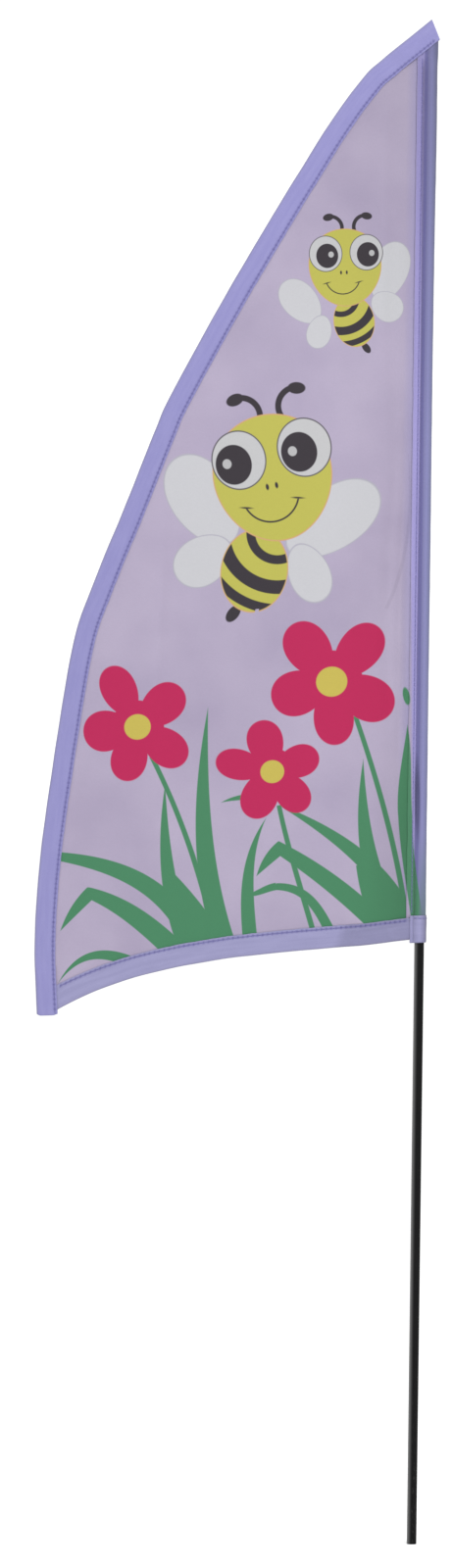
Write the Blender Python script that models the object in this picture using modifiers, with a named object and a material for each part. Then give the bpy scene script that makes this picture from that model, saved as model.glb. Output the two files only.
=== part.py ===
"""Teardrop flag: a printed cloth flag sewn onto a straight fibreglass pole.

The pole stands on the origin and points up +Z. The flag hangs towards -X in the XZ plane, and its
printed front faces -Y. Cloth that really touches is kept about 0.3 mm apart, so that every sewn
piece stays a solid of its own. Each cloth piece is first made flat, and then all of them are moved
along Y by one shared function, billow(), so that they still fit each other on the curved flag.
"""
import math

import bmesh
import bpy
from mathutils import Vector

# ---------------------------------------------------------------- driving dimensions, metres
GAP = 0.0003                 # clearance between pieces that touch on the real flag

POLE_RADIUS = 0.0025
POLE_LENGTH = 0.750
POLE_EDGE = 0.0005           # rounding of the rod's sawn ends

CAP_WALL = 0.0003
CAP_DEPTH = 0.011            # how far the cap reaches down the rod
CAP_ROOF = 0.0008
CAP_EDGE = 0.0004            # softening of the cap's upper edge

CLOTH = 0.0003               # thickness of the panel, the sleeve and each wall of a tape
SLEEVE_RADIUS = 0.00295      # middle of the sleeve's cloth, along most of its length
SLEEVE_TOP_RADIUS = 0.00355  # the same, where the tip cap fills it
SLEEVE_BOTTOM = 0.3094
SLEEVE_TOP = 0.7680
SLEEVE_WIDENS = (0.600, 0.735)
SLEEVE_FLATTENS = (0.7516, 0.7602)
SLEEVE_FLAT_RIGHT = 0.00375  # right-hand end of the flattened top, middle of the cloth
FLAP_EDGE_X = -0.0068        # free edge of the two sleeve flaps
SLEEVE_SEAM_X = -0.0041

PANEL_RIGHT_X = -0.0036      # panel's straight edge, between the flaps
PANEL_INSET = 0.0015         # panel's edge inside the outer edge of a tape
PANEL_TIP_WIDTH = 0.0012     # width of the panel at its very top
PANEL_TIP_STEP = 0.0002      # fineness of the search for that top
PANEL_CORNER = 0.004         # how far the panel's free corner reaches under the leading tape
PANEL_COLUMNS = 13
PANEL_ROWS = 32

TAPE_SPREAD = 0.0006         # extra half thickness where a tape crosses another sewn layer
TAPE_STEP = 0.010            # length of one facet along a tape
TAPE_FOLD = 0.0005           # rounding of the folded edge
LEADING_TOP_LAYERS = (0.020, 0.030)      # from the peak: where the tape closes after the sleeve
LEADING_END_LAYERS = (0.028, 0.018)      # from the free corner: where it opens over the lower tape
LOWER_END_LAYERS = (-0.018, -0.0082)     # X where the lower tape opens over the sleeve's flaps
LEADING_WIDTH = 0.0105
LEADING_END_SLANT = 0.31     # the upper end is cut off slanted
LOWER_WIDTH = 0.0110
LOWER_LEFT_X = -0.1875
LOWER_RIGHT_X = -0.0033
SEAM_INSET = 0.0013          # stitch line inside a tape's inner edge
LEADING_SEAM_START = 0.006   # from the peak
LEADING_SEAM_END = 0.0015    # from the tape's lower end
LOWER_SEAM = (-0.1818, -0.0050)          # X of its two ends
LOWER_SEAM_PARTS = 18
SLEEVE_SEAM_HEIGHTS = (0.540, 0.7585)    # bend and upper end
SLEEVE_SEAM_START = 0.0010   # above the wrapped mouth

MOUTH_BOTTOM = 0.3068
MOUTH_HEIGHT = 0.0138
MOUTH_LIP = 0.0004           # thickness of the lip that is turned in under the sleeve
MOUTH_INNER = 0.0034         # radii of the wrapped tape, and of the hole the rod enters by
MOUTH_OUTER = 0.0037
MOUTH_HOLE = 0.0028
SLOT_X = (-0.0065, -0.0025)  # slot in the wrap where the sleeve's flaps leave it
SLOT_RISE = 0.0022           # from the mouth's bottom to the slot

THREAD_RADIUS = 0.0002

BILLOW_DEPTH = 0.006         # how far the free edge swings out of the flat plane
BILLOW_START_X = -0.008
BILLOW_REACH = 0.190
BILLOW_WAVE = 0.420          # height of one whole wave
BILLOW_PHASE = 0.9
BILLOW_LEAN = 1.1

# The flag's outline in X and Z: the leading edge from the peak down to the free corner,
# and the lower edge as the four control points of one Bezier curve, from left to right.
LEADING_EDGE = [
    (0.0005, 0.7778), (-0.0238, 0.7575), (-0.0348, 0.7467), (-0.0554, 0.7168), (-0.0965, 0.6468),
    (-0.1291, 0.5862), (-0.1379, 0.5660), (-0.1533, 0.5259), (-0.1693, 0.4856), (-0.1790, 0.4540),
    (-0.1893, 0.3854), (-0.1940, 0.3453), (-0.1960, 0.3053), (-0.1943, 0.2671),
]
LOWER_EDGE = [(-0.1875, 0.2684), (-0.1330, 0.3025), (-0.0560, 0.3000), (-0.0033, 0.3086)]


# ---------------------------------------------------------------- rules of shape
def smooth(value):
    """0 below 0, 1 above 1, and an S-shaped ramp between."""
    value = min(max(value, 0.0), 1.0)
    return value * value * (3.0 - 2.0 * value)


def ramp(value, limits):
    return smooth((value - limits[0]) / (limits[1] - limits[0]))


def mix(a, b, share):
    return a + (b - a) * share


def billow(x, z):
    """Shift along Y that turns the flat flag into gently waving cloth."""
    reach = max(0.0, (BILLOW_START_X - x) / BILLOW_REACH)
    wave = math.sin(2.0 * math.pi * z / BILLOW_WAVE + BILLOW_PHASE + BILLOW_LEAN * reach)
    return BILLOW_DEPTH * smooth(reach) * wave


def catmull_rom(anchors, per_span=40):
    """A smooth line through the anchors, as closely spaced points."""
    ends = [Vector(p) for p in anchors]
    ends = [2 * ends[0] - ends[1]] + ends + [2 * ends[-1] - ends[-2]]
    line = []
    for p0, p1, p2, p3 in zip(ends, ends[1:], ends[2:], ends[3:]):
        for i in range(per_span):
            t = i / per_span
            line.append(0.5 * (2 * p1 + (p2 - p0) * t + (2 * p0 - 5 * p1 + 4 * p2 - p3) * t ** 2
                               + (3 * p1 - p0 - 3 * p2 + p3) * t ** 3))
    line.append(ends[-2])
    return line


class LeadingPath:
    """The curved edge, read by the distance from the peak and by the height."""

    def __init__(self, anchors):
        self.line = catmull_rom(anchors)
        self.run = [0.0]
        for a, b in zip(self.line, self.line[1:]):
            self.run.append(self.run[-1] + (b - a).length)
        self.length = self.run[-1]

    def place(self, along, inward):
        """Point at a distance along the edge and a distance inside it."""
        i = 0
        while i < len(self.run) - 2 and self.run[i + 1] < along:
            i += 1
        step = (self.line[i + 1] - self.line[i]).normalized()
        base = self.line[i] + step * (along - self.run[i])
        return base + Vector((-step.y, step.x)) * inward

    def x_at(self, z, inward):
        """X of the line that runs a distance inside the edge, at a height."""
        previous = self.place(0.0, inward)
        count = 400
        for i in range(1, count + 1):
            point = self.place(self.length * i / count, inward)
            if point.y <= z:
                share = (previous.y - z) / (previous.y - point.y)
                return mix(previous.x, point.x, share)
            previous = point
        return previous.x


def lower_height(x, inward=0.0):
    """Height of the lower edge at an X, or of a line a distance inside it."""
    low, high = 0.0, 1.0
    p0, p1, p2, p3 = [Vector(p) for p in LOWER_EDGE]
    for _ in range(30):
        t = 0.5 * (low + high)
        s = 1.0 - t
        point = s ** 3 * p0 + 3 * s * s * t * p1 + 3 * s * t * t * p2 + t ** 3 * p3
        if point.x < x:
            low = t
        else:
            high = t
    slope = s * s * (p1 - p0) + 2 * s * t * (p2 - p1) + t * t * (p3 - p2)
    return point.y + inward * slope.length / slope.x


LEADING = LeadingPath(LEADING_EDGE)


# ---------------------------------------------------------------- scene and materials
def clear_scene():
    for obj in list(bpy.data.objects):
        bpy.data.objects.remove(obj, do_unlink=True)


def new_collection(name):
    collection = bpy.data.collections.new(name)
    bpy.context.scene.collection.children.link(collection)
    return collection


clear_scene()
FLAG = new_collection("teardrop_flag")
CUTTERS = new_collection("cutters")


def material(name, color, roughness, metallic=0.0):
    mat = bpy.data.materials.new(name)
    mat.use_nodes = True
    shader = mat.node_tree.nodes["Principled BSDF"]
    shader.inputs["Base Color"].default_value = (*color, 1.0)
    shader.inputs["Roughness"].default_value = roughness
    shader.inputs["Metallic"].default_value = metallic
    return mat


def add_mesh(name, bm, mat=None, smooth_faces=False, collection=FLAG):
    """Makes an object of a bmesh, in the object's collection."""
    mesh = bpy.data.meshes.new(name)
    bm.to_mesh(mesh)
    bm.free()
    if smooth_faces:
        mesh.shade_smooth()
        mesh.set_sharp_from_angle(angle=math.radians(35))
    if mat:
        mesh.materials.append(mat)
    obj = bpy.data.objects.new(name, mesh)
    collection.objects.link(obj)
    return obj


def curve_to_bmesh(curve):
    """Evaluates a curve, welds its loose caps and returns it as a bmesh."""
    holder = bpy.data.objects.new("curve_holder", curve)
    bpy.context.scene.collection.objects.link(holder)
    depsgraph = bpy.context.evaluated_depsgraph_get()
    mesh = bpy.data.meshes.new_from_object(holder.evaluated_get(depsgraph))
    bm = bmesh.new()
    bm.from_mesh(mesh)
    bmesh.ops.remove_doubles(bm, verts=bm.verts, dist=1e-6)
    bpy.data.objects.remove(holder, do_unlink=True)
    bpy.data.meshes.remove(mesh)
    return bm


def add_shell(obj, thickness):
    shell = obj.modifiers.new("Solidify", "SOLIDIFY")
    shell.thickness = thickness
    shell.offset = 0.0
    shell.use_even_offset = True


def boolean(obj, operation, other):
    mod = obj.modifiers.new(operation.title(), "BOOLEAN")
    mod.operation = operation
    mod.object = other
    mod.solver = "EXACT"


def cutter(bm, name):
    obj = add_mesh(name, bm, collection=CUTTERS)
    obj.hide_render = True
    obj.display_type = "WIRE"
    return obj


def face_outwards(bm):
    """Turns every face of a closed mesh outwards."""
    bmesh.ops.recalc_face_normals(bm, faces=bm.faces)
    if bm.calc_volume(signed=True) < 0.0:
        bmesh.ops.reverse_faces(bm, faces=bm.faces)


def billow_mesh(bm):
    for vert in bm.verts:
        vert.co.y += billow(vert.co.x, vert.co.z)


# ---------------------------------------------------------------- the pole and its cap
def make_pole():
    bm = bmesh.new()
    bmesh.ops.create_cone(bm, cap_ends=True, segments=32, radius1=POLE_RADIUS, radius2=POLE_RADIUS,
                          depth=POLE_LENGTH)
    bmesh.ops.translate(bm, verts=bm.verts, vec=(0, 0, POLE_LENGTH / 2))
    pole = add_mesh("pole", bm, material("black_fibreglass", (0.012, 0.012, 0.013), 0.35), True)
    bevel = pole.modifiers.new("Bevel", "BEVEL")
    bevel.width = POLE_EDGE
    bevel.segments = 3
    bevel.limit_method = "ANGLE"
    bevel.angle_limit = math.radians(60)
    return pole


def make_tip_cap():
    """A thin vinyl cup over the rod's upper end. It stays in the closed top of the sleeve."""
    inner = POLE_RADIUS + GAP
    outer = inner + CAP_WALL
    roof = POLE_LENGTH + GAP
    bottom = POLE_LENGTH - CAP_DEPTH
    top = roof + CAP_ROOF
    profile = [(0.0, top), (outer - CAP_EDGE, top), (outer, top - CAP_EDGE), (outer, bottom),
               (inner, bottom), (inner, roof), (0.0, roof)]
    bm = bmesh.new()
    verts = [bm.verts.new((r, 0.0, z)) for r, z in profile]
    for a, b in zip(verts, verts[1:]):
        bm.edges.new((a, b))
    cap = add_mesh("pole_tip_cap", bm, material("black_vinyl", (0.02, 0.02, 0.022), 0.5))
    screw = cap.modifiers.new("Screw", "SCREW")
    screw.steps = 28
    screw.render_steps = 28
    screw.use_merge_vertices = True
    screw.merge_threshold = 0.00001
    return cap


# ---------------------------------------------------------------- the printed panel
def make_panel():
    """The teardrop of printed cloth, as a grid that is drawn out to the flag's outline."""
    along = 0.0
    while LEADING.place(along, PANEL_INSET).x > PANEL_RIGHT_X - PANEL_TIP_WIDTH:
        along += PANEL_TIP_STEP
    top = LEADING.place(along, PANEL_INSET).y
    bm = bmesh.new()
    bmesh.ops.create_grid(bm, x_segments=PANEL_COLUMNS, y_segments=PANEL_ROWS, size=1.0)
    for vert in bm.verts:
        across = (1.0 - vert.co.x) / 2.0
        up = (vert.co.y + 1.0) / 2.0
        foot_x = mix(PANEL_RIGHT_X, LOWER_LEFT_X - PANEL_CORNER, across)
        foot = lower_height(max(foot_x, LOWER_LEFT_X), PANEL_INSET)
        z = mix(foot, top, up)
        x = mix(PANEL_RIGHT_X, LEADING.x_at(z, PANEL_INSET), across)
        vert.co = (x, 0.0, z)
    billow_mesh(bm)
    bmesh.ops.recalc_face_normals(bm, faces=bm.faces)
    panel = add_mesh("printed_panel", bm, material("printed_polyester", (0.46, 0.40, 0.56), 0.75))
    add_shell(panel, CLOTH)
    return panel


# ---------------------------------------------------------------- the pole sleeve
def sleeve_section(z):
    """The keyhole that the sleeve's cloth follows at a height: front flap, tube, back flap."""
    half = CLOTH + GAP
    radius = mix(SLEEVE_RADIUS, SLEEVE_TOP_RADIUS, ramp(z, SLEEVE_WIDENS))
    flat = ramp(z, SLEEVE_FLATTENS)
    last_angle = math.pi - math.asin(half / radius)
    joint_x = -radius * math.cos(math.asin(half / radius))
    steps = 24
    tube = []
    for i in range(steps + 1):
        angle = mix(-last_angle, last_angle, i / steps)
        share = abs(angle) / last_angle
        level_x = mix(SLEEVE_FLAT_RIGHT, joint_x, share)
        level_y = math.copysign(half * math.sin(min(1.0, abs(angle) / 0.35) * math.pi / 2), angle)
        tube.append((mix(radius * math.cos(angle), level_x, flat),
                     mix(radius * math.sin(angle), level_y, flat)))
    return [(FLAP_EDGE_X, -half)] + tube + [(FLAP_EDGE_X, half)]


def make_sleeve():
    levels = [SLEEVE_BOTTOM, 0.38, 0.45, 0.525]
    levels += [mix(*SLEEVE_WIDENS, i / 5) for i in range(6)]
    levels += [mix(*SLEEVE_FLATTENS, i / 4) for i in range(5)]
    levels.append(SLEEVE_TOP)
    bm = bmesh.new()
    row = [bm.verts.new((x, y, levels[0])) for x, y in sleeve_section(levels[0])]
    edges = [bm.edges.new(pair) for pair in zip(row, row[1:])]
    for z in levels[1:]:
        place_in_row = {tuple(vert.co): i for i, vert in enumerate(row)}
        result = bmesh.ops.extrude_edge_only(bm, edges=edges)["geom"]
        edges = [item for item in result if isinstance(item, bmesh.types.BMEdge)]
        row = [item for item in result if isinstance(item, bmesh.types.BMVert)]
        row.sort(key=lambda vert: place_in_row[tuple(vert.co)])
        for vert, (x, y) in zip(row, sleeve_section(z)):
            vert.co = (x, y, z)
    bmesh.ops.recalc_face_normals(bm, faces=bm.faces)
    sleeve = add_mesh("pole_sleeve", bm, material("sleeve_polyester", (0.27, 0.25, 0.50), 0.7), True)
    add_shell(sleeve, CLOTH)
    return sleeve


# ---------------------------------------------------------------- the binding tapes
def tape_blank(name, width, length):
    """A straight folded tape: X along it, Y through it, Z from its fold to its open edge."""
    wall_in = CLOTH / 2 + GAP
    wall_out = wall_in + CLOTH
    outer = [(width, -wall_out), (TAPE_FOLD, -wall_out), (0.0, -CLOTH), (0.0, CLOTH),
             (TAPE_FOLD, wall_out), (width, wall_out)]
    inner = [(width, wall_in), (TAPE_FOLD, wall_in), (CLOTH, CLOTH / 2), (CLOTH, -CLOTH / 2),
             (TAPE_FOLD, -wall_in), (width, -wall_in)]
    curve = bpy.data.curves.new(name + "_section", "CURVE")
    curve.dimensions = "2D"
    curve.fill_mode = "BOTH"
    curve.extrude = length / 2
    spline = curve.splines.new("POLY")
    spline.points.add(len(outer + inner) - 1)
    spline.use_cyclic_u = True
    for point, (across, through) in zip(spline.points, outer + inner):
        point.co = (across, through, 0.0, 1.0)
    bm = curve_to_bmesh(curve)
    bpy.data.curves.remove(curve)
    for vert in bm.verts:
        vert.co = (vert.co.z + length / 2, vert.co.y, vert.co.x)
    for i in range(1, round(length / TAPE_STEP)):
        everything = list(bm.verts) + list(bm.edges) + list(bm.faces)
        bmesh.ops.bisect_plane(bm, geom=everything, plane_co=(i * TAPE_STEP, 0, 0), plane_no=(1, 0, 0))
    return bm


def spread(y, amount):
    """Opens a folded tape, walls first and its fold least, where it holds a thicker layer."""
    wall_in = CLOTH / 2 + GAP
    return y + math.copysign(TAPE_SPREAD * amount * min(1.0, abs(y) / wall_in), y)


def leading_spread(along):
    """1 where the leading tape crosses the sleeve's top and the lower tape's end, 0 between."""
    top = 1.0 - ramp(along, LEADING_TOP_LAYERS)
    start, end = LEADING_END_LAYERS
    bottom = ramp(along, (LEADING.length - start, LEADING.length - end))
    return max(top, bottom)


def lower_spread(x):
    """1 where the lower tape crosses the sleeve's flaps."""
    return ramp(x, LOWER_END_LAYERS)


def make_leading_tape(mat):
    bm = tape_blank("leading", LEADING_WIDTH, LEADING.length)
    for vert in bm.verts:
        along, y, inward = vert.co
        slant = LEADING_END_SLANT * inward * max(0.0, 1.0 - along / TAPE_STEP)
        spot = LEADING.place(along + slant, inward)
        vert.co = (spot.x, spread(y, leading_spread(along)), spot.y)
    billow_mesh(bm)
    face_outwards(bm)
    return add_mesh("leading_edge_binding", bm, mat)


def make_lower_tape(mat):
    length = LOWER_RIGHT_X - LOWER_LEFT_X
    bm = tape_blank("lower", LOWER_WIDTH, length)
    for vert in bm.verts:
        along, y, inward = vert.co
        x = LOWER_LEFT_X + along
        vert.co = (x, spread(y, lower_spread(x)), lower_height(x, inward))
    billow_mesh(bm)
    face_outwards(bm)
    tape = add_mesh("lower_edge_binding", bm, mat)
    boolean(tape, "UNION", make_mouth_ring())
    return tape


def upright_cylinder(radius, low, high, segments=40):
    bm = bmesh.new()
    bmesh.ops.create_cone(bm, cap_ends=True, segments=segments, radius1=radius, radius2=radius,
                          depth=high - low)
    bmesh.ops.translate(bm, verts=bm.verts, vec=(0, 0, (low + high) / 2))
    return bm


def make_mouth_ring():
    """The stretch of lower tape that wraps the sleeve's mouth, open where the flaps leave it."""
    top = MOUTH_BOTTOM + MOUTH_HEIGHT
    floor = MOUTH_BOTTOM + MOUTH_LIP
    ring = cutter(upright_cylinder(MOUTH_OUTER, MOUTH_BOTTOM, top), "mouth_ring")
    boolean(ring, "DIFFERENCE", cutter(upright_cylinder(MOUTH_INNER, floor, top + 0.001), "mouth_bore"))
    boolean(ring, "DIFFERENCE", cutter(upright_cylinder(MOUTH_HOLE, floor - 0.002, top), "mouth_hole"))
    half = CLOTH / 2 + GAP + TAPE_SPREAD
    slot = bmesh.new()
    bmesh.ops.create_cube(slot, size=1.0)
    bmesh.ops.scale(slot, verts=slot.verts, vec=(SLOT_X[1] - SLOT_X[0], 2 * half, MOUTH_HEIGHT))
    slot_middle = (sum(SLOT_X) / 2, 0, MOUTH_BOTTOM + SLOT_RISE + MOUTH_HEIGHT / 2)
    bmesh.ops.translate(slot, verts=slot.verts, vec=slot_middle)
    boolean(ring, "DIFFERENCE", cutter(slot, "flap_slot"))
    return ring


# ---------------------------------------------------------------- the seams' threads
def make_thread(name, points, mat):
    """One thread of a seam, lying on the cloth along its stitch line."""
    curve = bpy.data.curves.new(name, "CURVE")
    curve.dimensions = "3D"
    curve.bevel_depth = THREAD_RADIUS
    curve.bevel_resolution = 2
    curve.use_fill_caps = True
    spline = curve.splines.new("POLY")
    spline.points.add(len(points) - 1)
    for target, point in zip(spline.points, points):
        target.co = (*point, 1.0)
    bm = curve_to_bmesh(curve)
    bpy.data.curves.remove(curve)
    face_outwards(bm)
    return add_mesh(name, bm, mat, smooth_faces=True)


def on_cloth(x, z, side, outer_face):
    """A thread's middle over a cloth face: side is -1 on the front and 1 on the back."""
    return (x, side * (outer_face + GAP + THREAD_RADIUS) + billow(x, z), z)


def leading_seam(side):
    wall_out = CLOTH / 2 + GAP + CLOTH
    count = round((LEADING.length - 2 * LEADING_SEAM_START) / TAPE_STEP)
    points = []
    for i in range(count + 1):
        along = mix(LEADING_SEAM_START, LEADING.length - LEADING_SEAM_END, i / count)
        spot = LEADING.place(along, LEADING_WIDTH - SEAM_INSET)
        points.append(on_cloth(spot.x, spot.y, side, wall_out + TAPE_SPREAD * leading_spread(along)))
    return points


def lower_seam(side):
    wall_out = CLOTH / 2 + GAP + CLOTH
    points = []
    for i in range(LOWER_SEAM_PARTS + 1):
        x = mix(*LOWER_SEAM, i / LOWER_SEAM_PARTS)
        z = lower_height(x, LOWER_WIDTH - SEAM_INSET)
        points.append(on_cloth(x, z, side, wall_out + TAPE_SPREAD * lower_spread(x)))
    return points


def sleeve_seam(side):
    outer = CLOTH + GAP + CLOTH / 2
    low = MOUTH_BOTTOM + MOUTH_HEIGHT + SLEEVE_SEAM_START
    return [on_cloth(SLEEVE_SEAM_X, z, side, outer) for z in (low, *SLEEVE_SEAM_HEIGHTS)]


# ---------------------------------------------------------------- the whole flag
make_pole()
make_tip_cap()
make_panel()
make_sleeve()
binding = material("violet_tape", (0.27, 0.26, 0.58), 0.65)
make_leading_tape(binding)
make_lower_tape(binding)
thread = material("violet_thread", (0.22, 0.20, 0.50), 0.6)
for seam, route in (("leading_seam", leading_seam), ("lower_seam", lower_seam),
                    ("sleeve_seam", sleeve_seam)):
    make_thread(seam + "_needle_thread", route(-1), thread)
    make_thread(seam + "_bobbin_thread", route(1), thread)
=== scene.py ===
# %% [markdown]
# # Teardrop flag
# A teardrop flag is a small garden banner. A cloth panel, cut like a sail, is printed in colour and edged
# with folded violet tape. A narrow sleeve along its straight side slips over a black fibreglass rod, whose
# tip sits in the closed top of the sleeve.
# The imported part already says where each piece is, so this lesson starts from that frame. Every plain CAD
# solid is then replaced by a finer piece in the same place: cloth with folds, tape with stitches, and a rod
# with a sanded surface.

# %% The frame
import bisect
import math

import bmesh
import bpy
from mathutils import Matrix, Vector, geometry, noise


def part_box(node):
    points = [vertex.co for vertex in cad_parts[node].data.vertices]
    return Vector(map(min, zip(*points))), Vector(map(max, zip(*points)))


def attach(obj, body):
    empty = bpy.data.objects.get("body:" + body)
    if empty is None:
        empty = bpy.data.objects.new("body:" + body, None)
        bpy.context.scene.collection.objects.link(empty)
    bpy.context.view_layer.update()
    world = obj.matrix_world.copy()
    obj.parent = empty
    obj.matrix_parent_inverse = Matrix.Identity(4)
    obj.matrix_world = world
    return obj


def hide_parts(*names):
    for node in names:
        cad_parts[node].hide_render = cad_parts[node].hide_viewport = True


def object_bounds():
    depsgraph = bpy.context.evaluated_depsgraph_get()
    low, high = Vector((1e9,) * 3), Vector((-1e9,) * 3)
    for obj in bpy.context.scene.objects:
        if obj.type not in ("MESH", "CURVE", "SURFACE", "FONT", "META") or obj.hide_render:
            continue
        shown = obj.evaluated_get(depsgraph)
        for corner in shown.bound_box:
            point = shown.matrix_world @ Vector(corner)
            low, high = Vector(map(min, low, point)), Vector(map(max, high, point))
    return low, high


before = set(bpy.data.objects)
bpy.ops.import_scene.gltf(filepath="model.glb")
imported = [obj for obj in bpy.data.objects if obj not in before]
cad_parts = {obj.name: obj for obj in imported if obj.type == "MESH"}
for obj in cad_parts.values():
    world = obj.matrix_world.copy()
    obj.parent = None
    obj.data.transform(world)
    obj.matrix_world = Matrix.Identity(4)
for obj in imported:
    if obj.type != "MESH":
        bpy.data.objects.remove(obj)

cad_low, cad_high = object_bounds()
MM = 0.001
print("CAD box in mm:", [round(c / MM, 1) for c in (*cad_low, *cad_high)])

# %% [markdown]
# ## Camera
# The camera comes first, because every later choice is judged through it. The flag is seen square on, from
# far enough away that the rod hardly narrows towards its foot. The rod leans a little in the frame, so the
# camera is rolled by that angle instead of tilting the flag, which has to stay upright in its own frame.
# A camera looks along its own -Z with +Y up, so its matrix is made from a right, an up and a back vector.

# %% Camera
CAMERA_DISTANCE = 3.2
FRAME_HEIGHT = 0.8          # how much of the flag's plane the frame shows
SENSOR_WIDTH = 36.0         # millimetres
CAMERA_ROLL = math.radians(0.73)
AIM_OFFSET = Vector((-0.0039, 0.0, -0.0024))

middle = (cad_low + cad_high) / 2
aim = Vector((middle.x, 0.0, middle.z)) + AIM_OFFSET
camera_data = bpy.data.cameras.new("camera")
camera_data.sensor_width = SENSOR_WIDTH
camera_data.lens = camera_data.sensor_width * CAMERA_DISTANCE / FRAME_HEIGHT
camera = bpy.data.objects.new("camera", camera_data)
bpy.context.scene.collection.objects.link(camera)
right = Vector((math.cos(CAMERA_ROLL), 0.0, math.sin(CAMERA_ROLL)))
up = Vector((-math.sin(CAMERA_ROLL), 0.0, math.cos(CAMERA_ROLL)))
back = Vector((0.0, -1.0, 0.0))
turned = Matrix((right, up, back)).transposed().to_4x4()
camera.matrix_world = Matrix.Translation(aim + back * CAMERA_DISTANCE) @ turned
bpy.context.scene.camera = camera
print("lens", round(camera_data.lens), "mm, camera at", [round(c, 4) for c in camera.location])

# %% [markdown]
# ## Floor and light
# A studio shows such a flag on white, so the floor is a very wide pale plane that runs into a white world.
# The world is the soft fill, and it lights every side alike. One large area light at the front right, above
# the flag, gives the folds and the round sleeve a light side and a shaded side. The Standard view
# transform keeps the white floor white and the inks at the strength that their colours say.

# %% Stage
FLOOR_HALF = 40.0
WORLD_STRENGTH = 1.12
KEY_PLACE = Vector((0.7, -1.9, 1.5))
KEY_SIZE = 0.9
KEY_POWER = 42.0

scene = bpy.context.scene
scene.view_settings.view_transform = "Standard"
world = bpy.data.worlds.new("white_studio")
world.use_nodes = True
world.node_tree.nodes["Background"].inputs["Color"].default_value = (1.0, 1.0, 1.0, 1.0)
world.node_tree.nodes["Background"].inputs["Strength"].default_value = WORLD_STRENGTH
scene.world = world

key_data = bpy.data.lights.new("key_light", "AREA")
key_data.size = KEY_SIZE
key_data.energy = KEY_POWER
key = bpy.data.objects.new("key_light", key_data)
key.location = aim + KEY_PLACE
key.rotation_mode = "QUATERNION"
key.rotation_quaternion = (-KEY_PLACE).to_track_quat("-Z", "Y")
scene.collection.objects.link(key)
print("key light", round(KEY_PLACE.length, 2), "m from the flag")

# %% [markdown]
# ## Guides
# Tape, panel, sleeve and seams all follow the same few lines: the curved leading edge, the gently bowed
# lower edge, and the slow wave that the whole flag makes in the air. The lines are repeated here from the
# part, in metres, and the boxes of the CAD nodes give the rest. Each guide is a small function, so that a
# piece can ask for a point at a distance along an edge and a distance inside it.

# %% Guide lines
LEADING_EDGE = [
    (0.0005, 0.7778), (-0.0238, 0.7575), (-0.0348, 0.7467), (-0.0554, 0.7168), (-0.0965, 0.6468),
    (-0.1291, 0.5862), (-0.1379, 0.5660), (-0.1533, 0.5259), (-0.1693, 0.4856), (-0.1790, 0.4540),
    (-0.1893, 0.3854), (-0.1940, 0.3453), (-0.1960, 0.3053), (-0.1943, 0.2671),
]
LOWER_EDGE = [(-0.1875, 0.2684), (-0.1330, 0.3025), (-0.0560, 0.3000), (-0.0033, 0.3086)]


def smooth(value):
    """0 below 0, 1 above 1, and an S-shaped ramp between."""
    value = min(max(value, 0.0), 1.0)
    return value * value * (3.0 - 2.0 * value)


def ramp(value, low, high):
    return smooth((value - low) / (high - low))


def mix(a, b, share):
    return a + (b - a) * share


def bump(value, centre, width):
    """A soft hump, 1 at its centre and almost 0 at two widths from it."""
    return math.exp(-((value - centre) / width) ** 2)


BILLOW_FROM = -0.008        # X where the cloth leaves the sleeve
BILLOW_REACH = 0.190
BILLOW_DEPTH = 0.006
BILLOW_PITCH = 0.420        # height from one wave to the next


def billow(x, z):
    """How far the hanging cloth swings out of its flat plane."""
    reach = max(0.0, (BILLOW_FROM - x) / BILLOW_REACH)
    wave = math.sin(2.0 * math.pi * z / BILLOW_PITCH + 0.9 + 1.1 * reach)
    return BILLOW_DEPTH * smooth(reach) * wave


def wrinkle(x, y, z):
    """Smooth random unevenness between -1 and 1."""
    return noise.noise(Vector((x, y, z)))


def smooth_line(anchors, per_span=40):
    """A Catmull-Rom line through the anchors, as closely spaced points."""
    ends = [Vector(p) for p in anchors]
    ends = [2 * ends[0] - ends[1]] + ends + [2 * ends[-1] - ends[-2]]
    line = []
    for p0, p1, p2, p3 in zip(ends, ends[1:], ends[2:], ends[3:]):
        for i in range(per_span):
            t = i / per_span
            line.append(0.5 * (2 * p1 + (p2 - p0) * t + (2 * p0 - 5 * p1 + 4 * p2 - p3) * t ** 2
                               + (3 * p1 - p0 - 3 * p2 + p3) * t ** 3))
    line.append(ends[-2])
    return line


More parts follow.
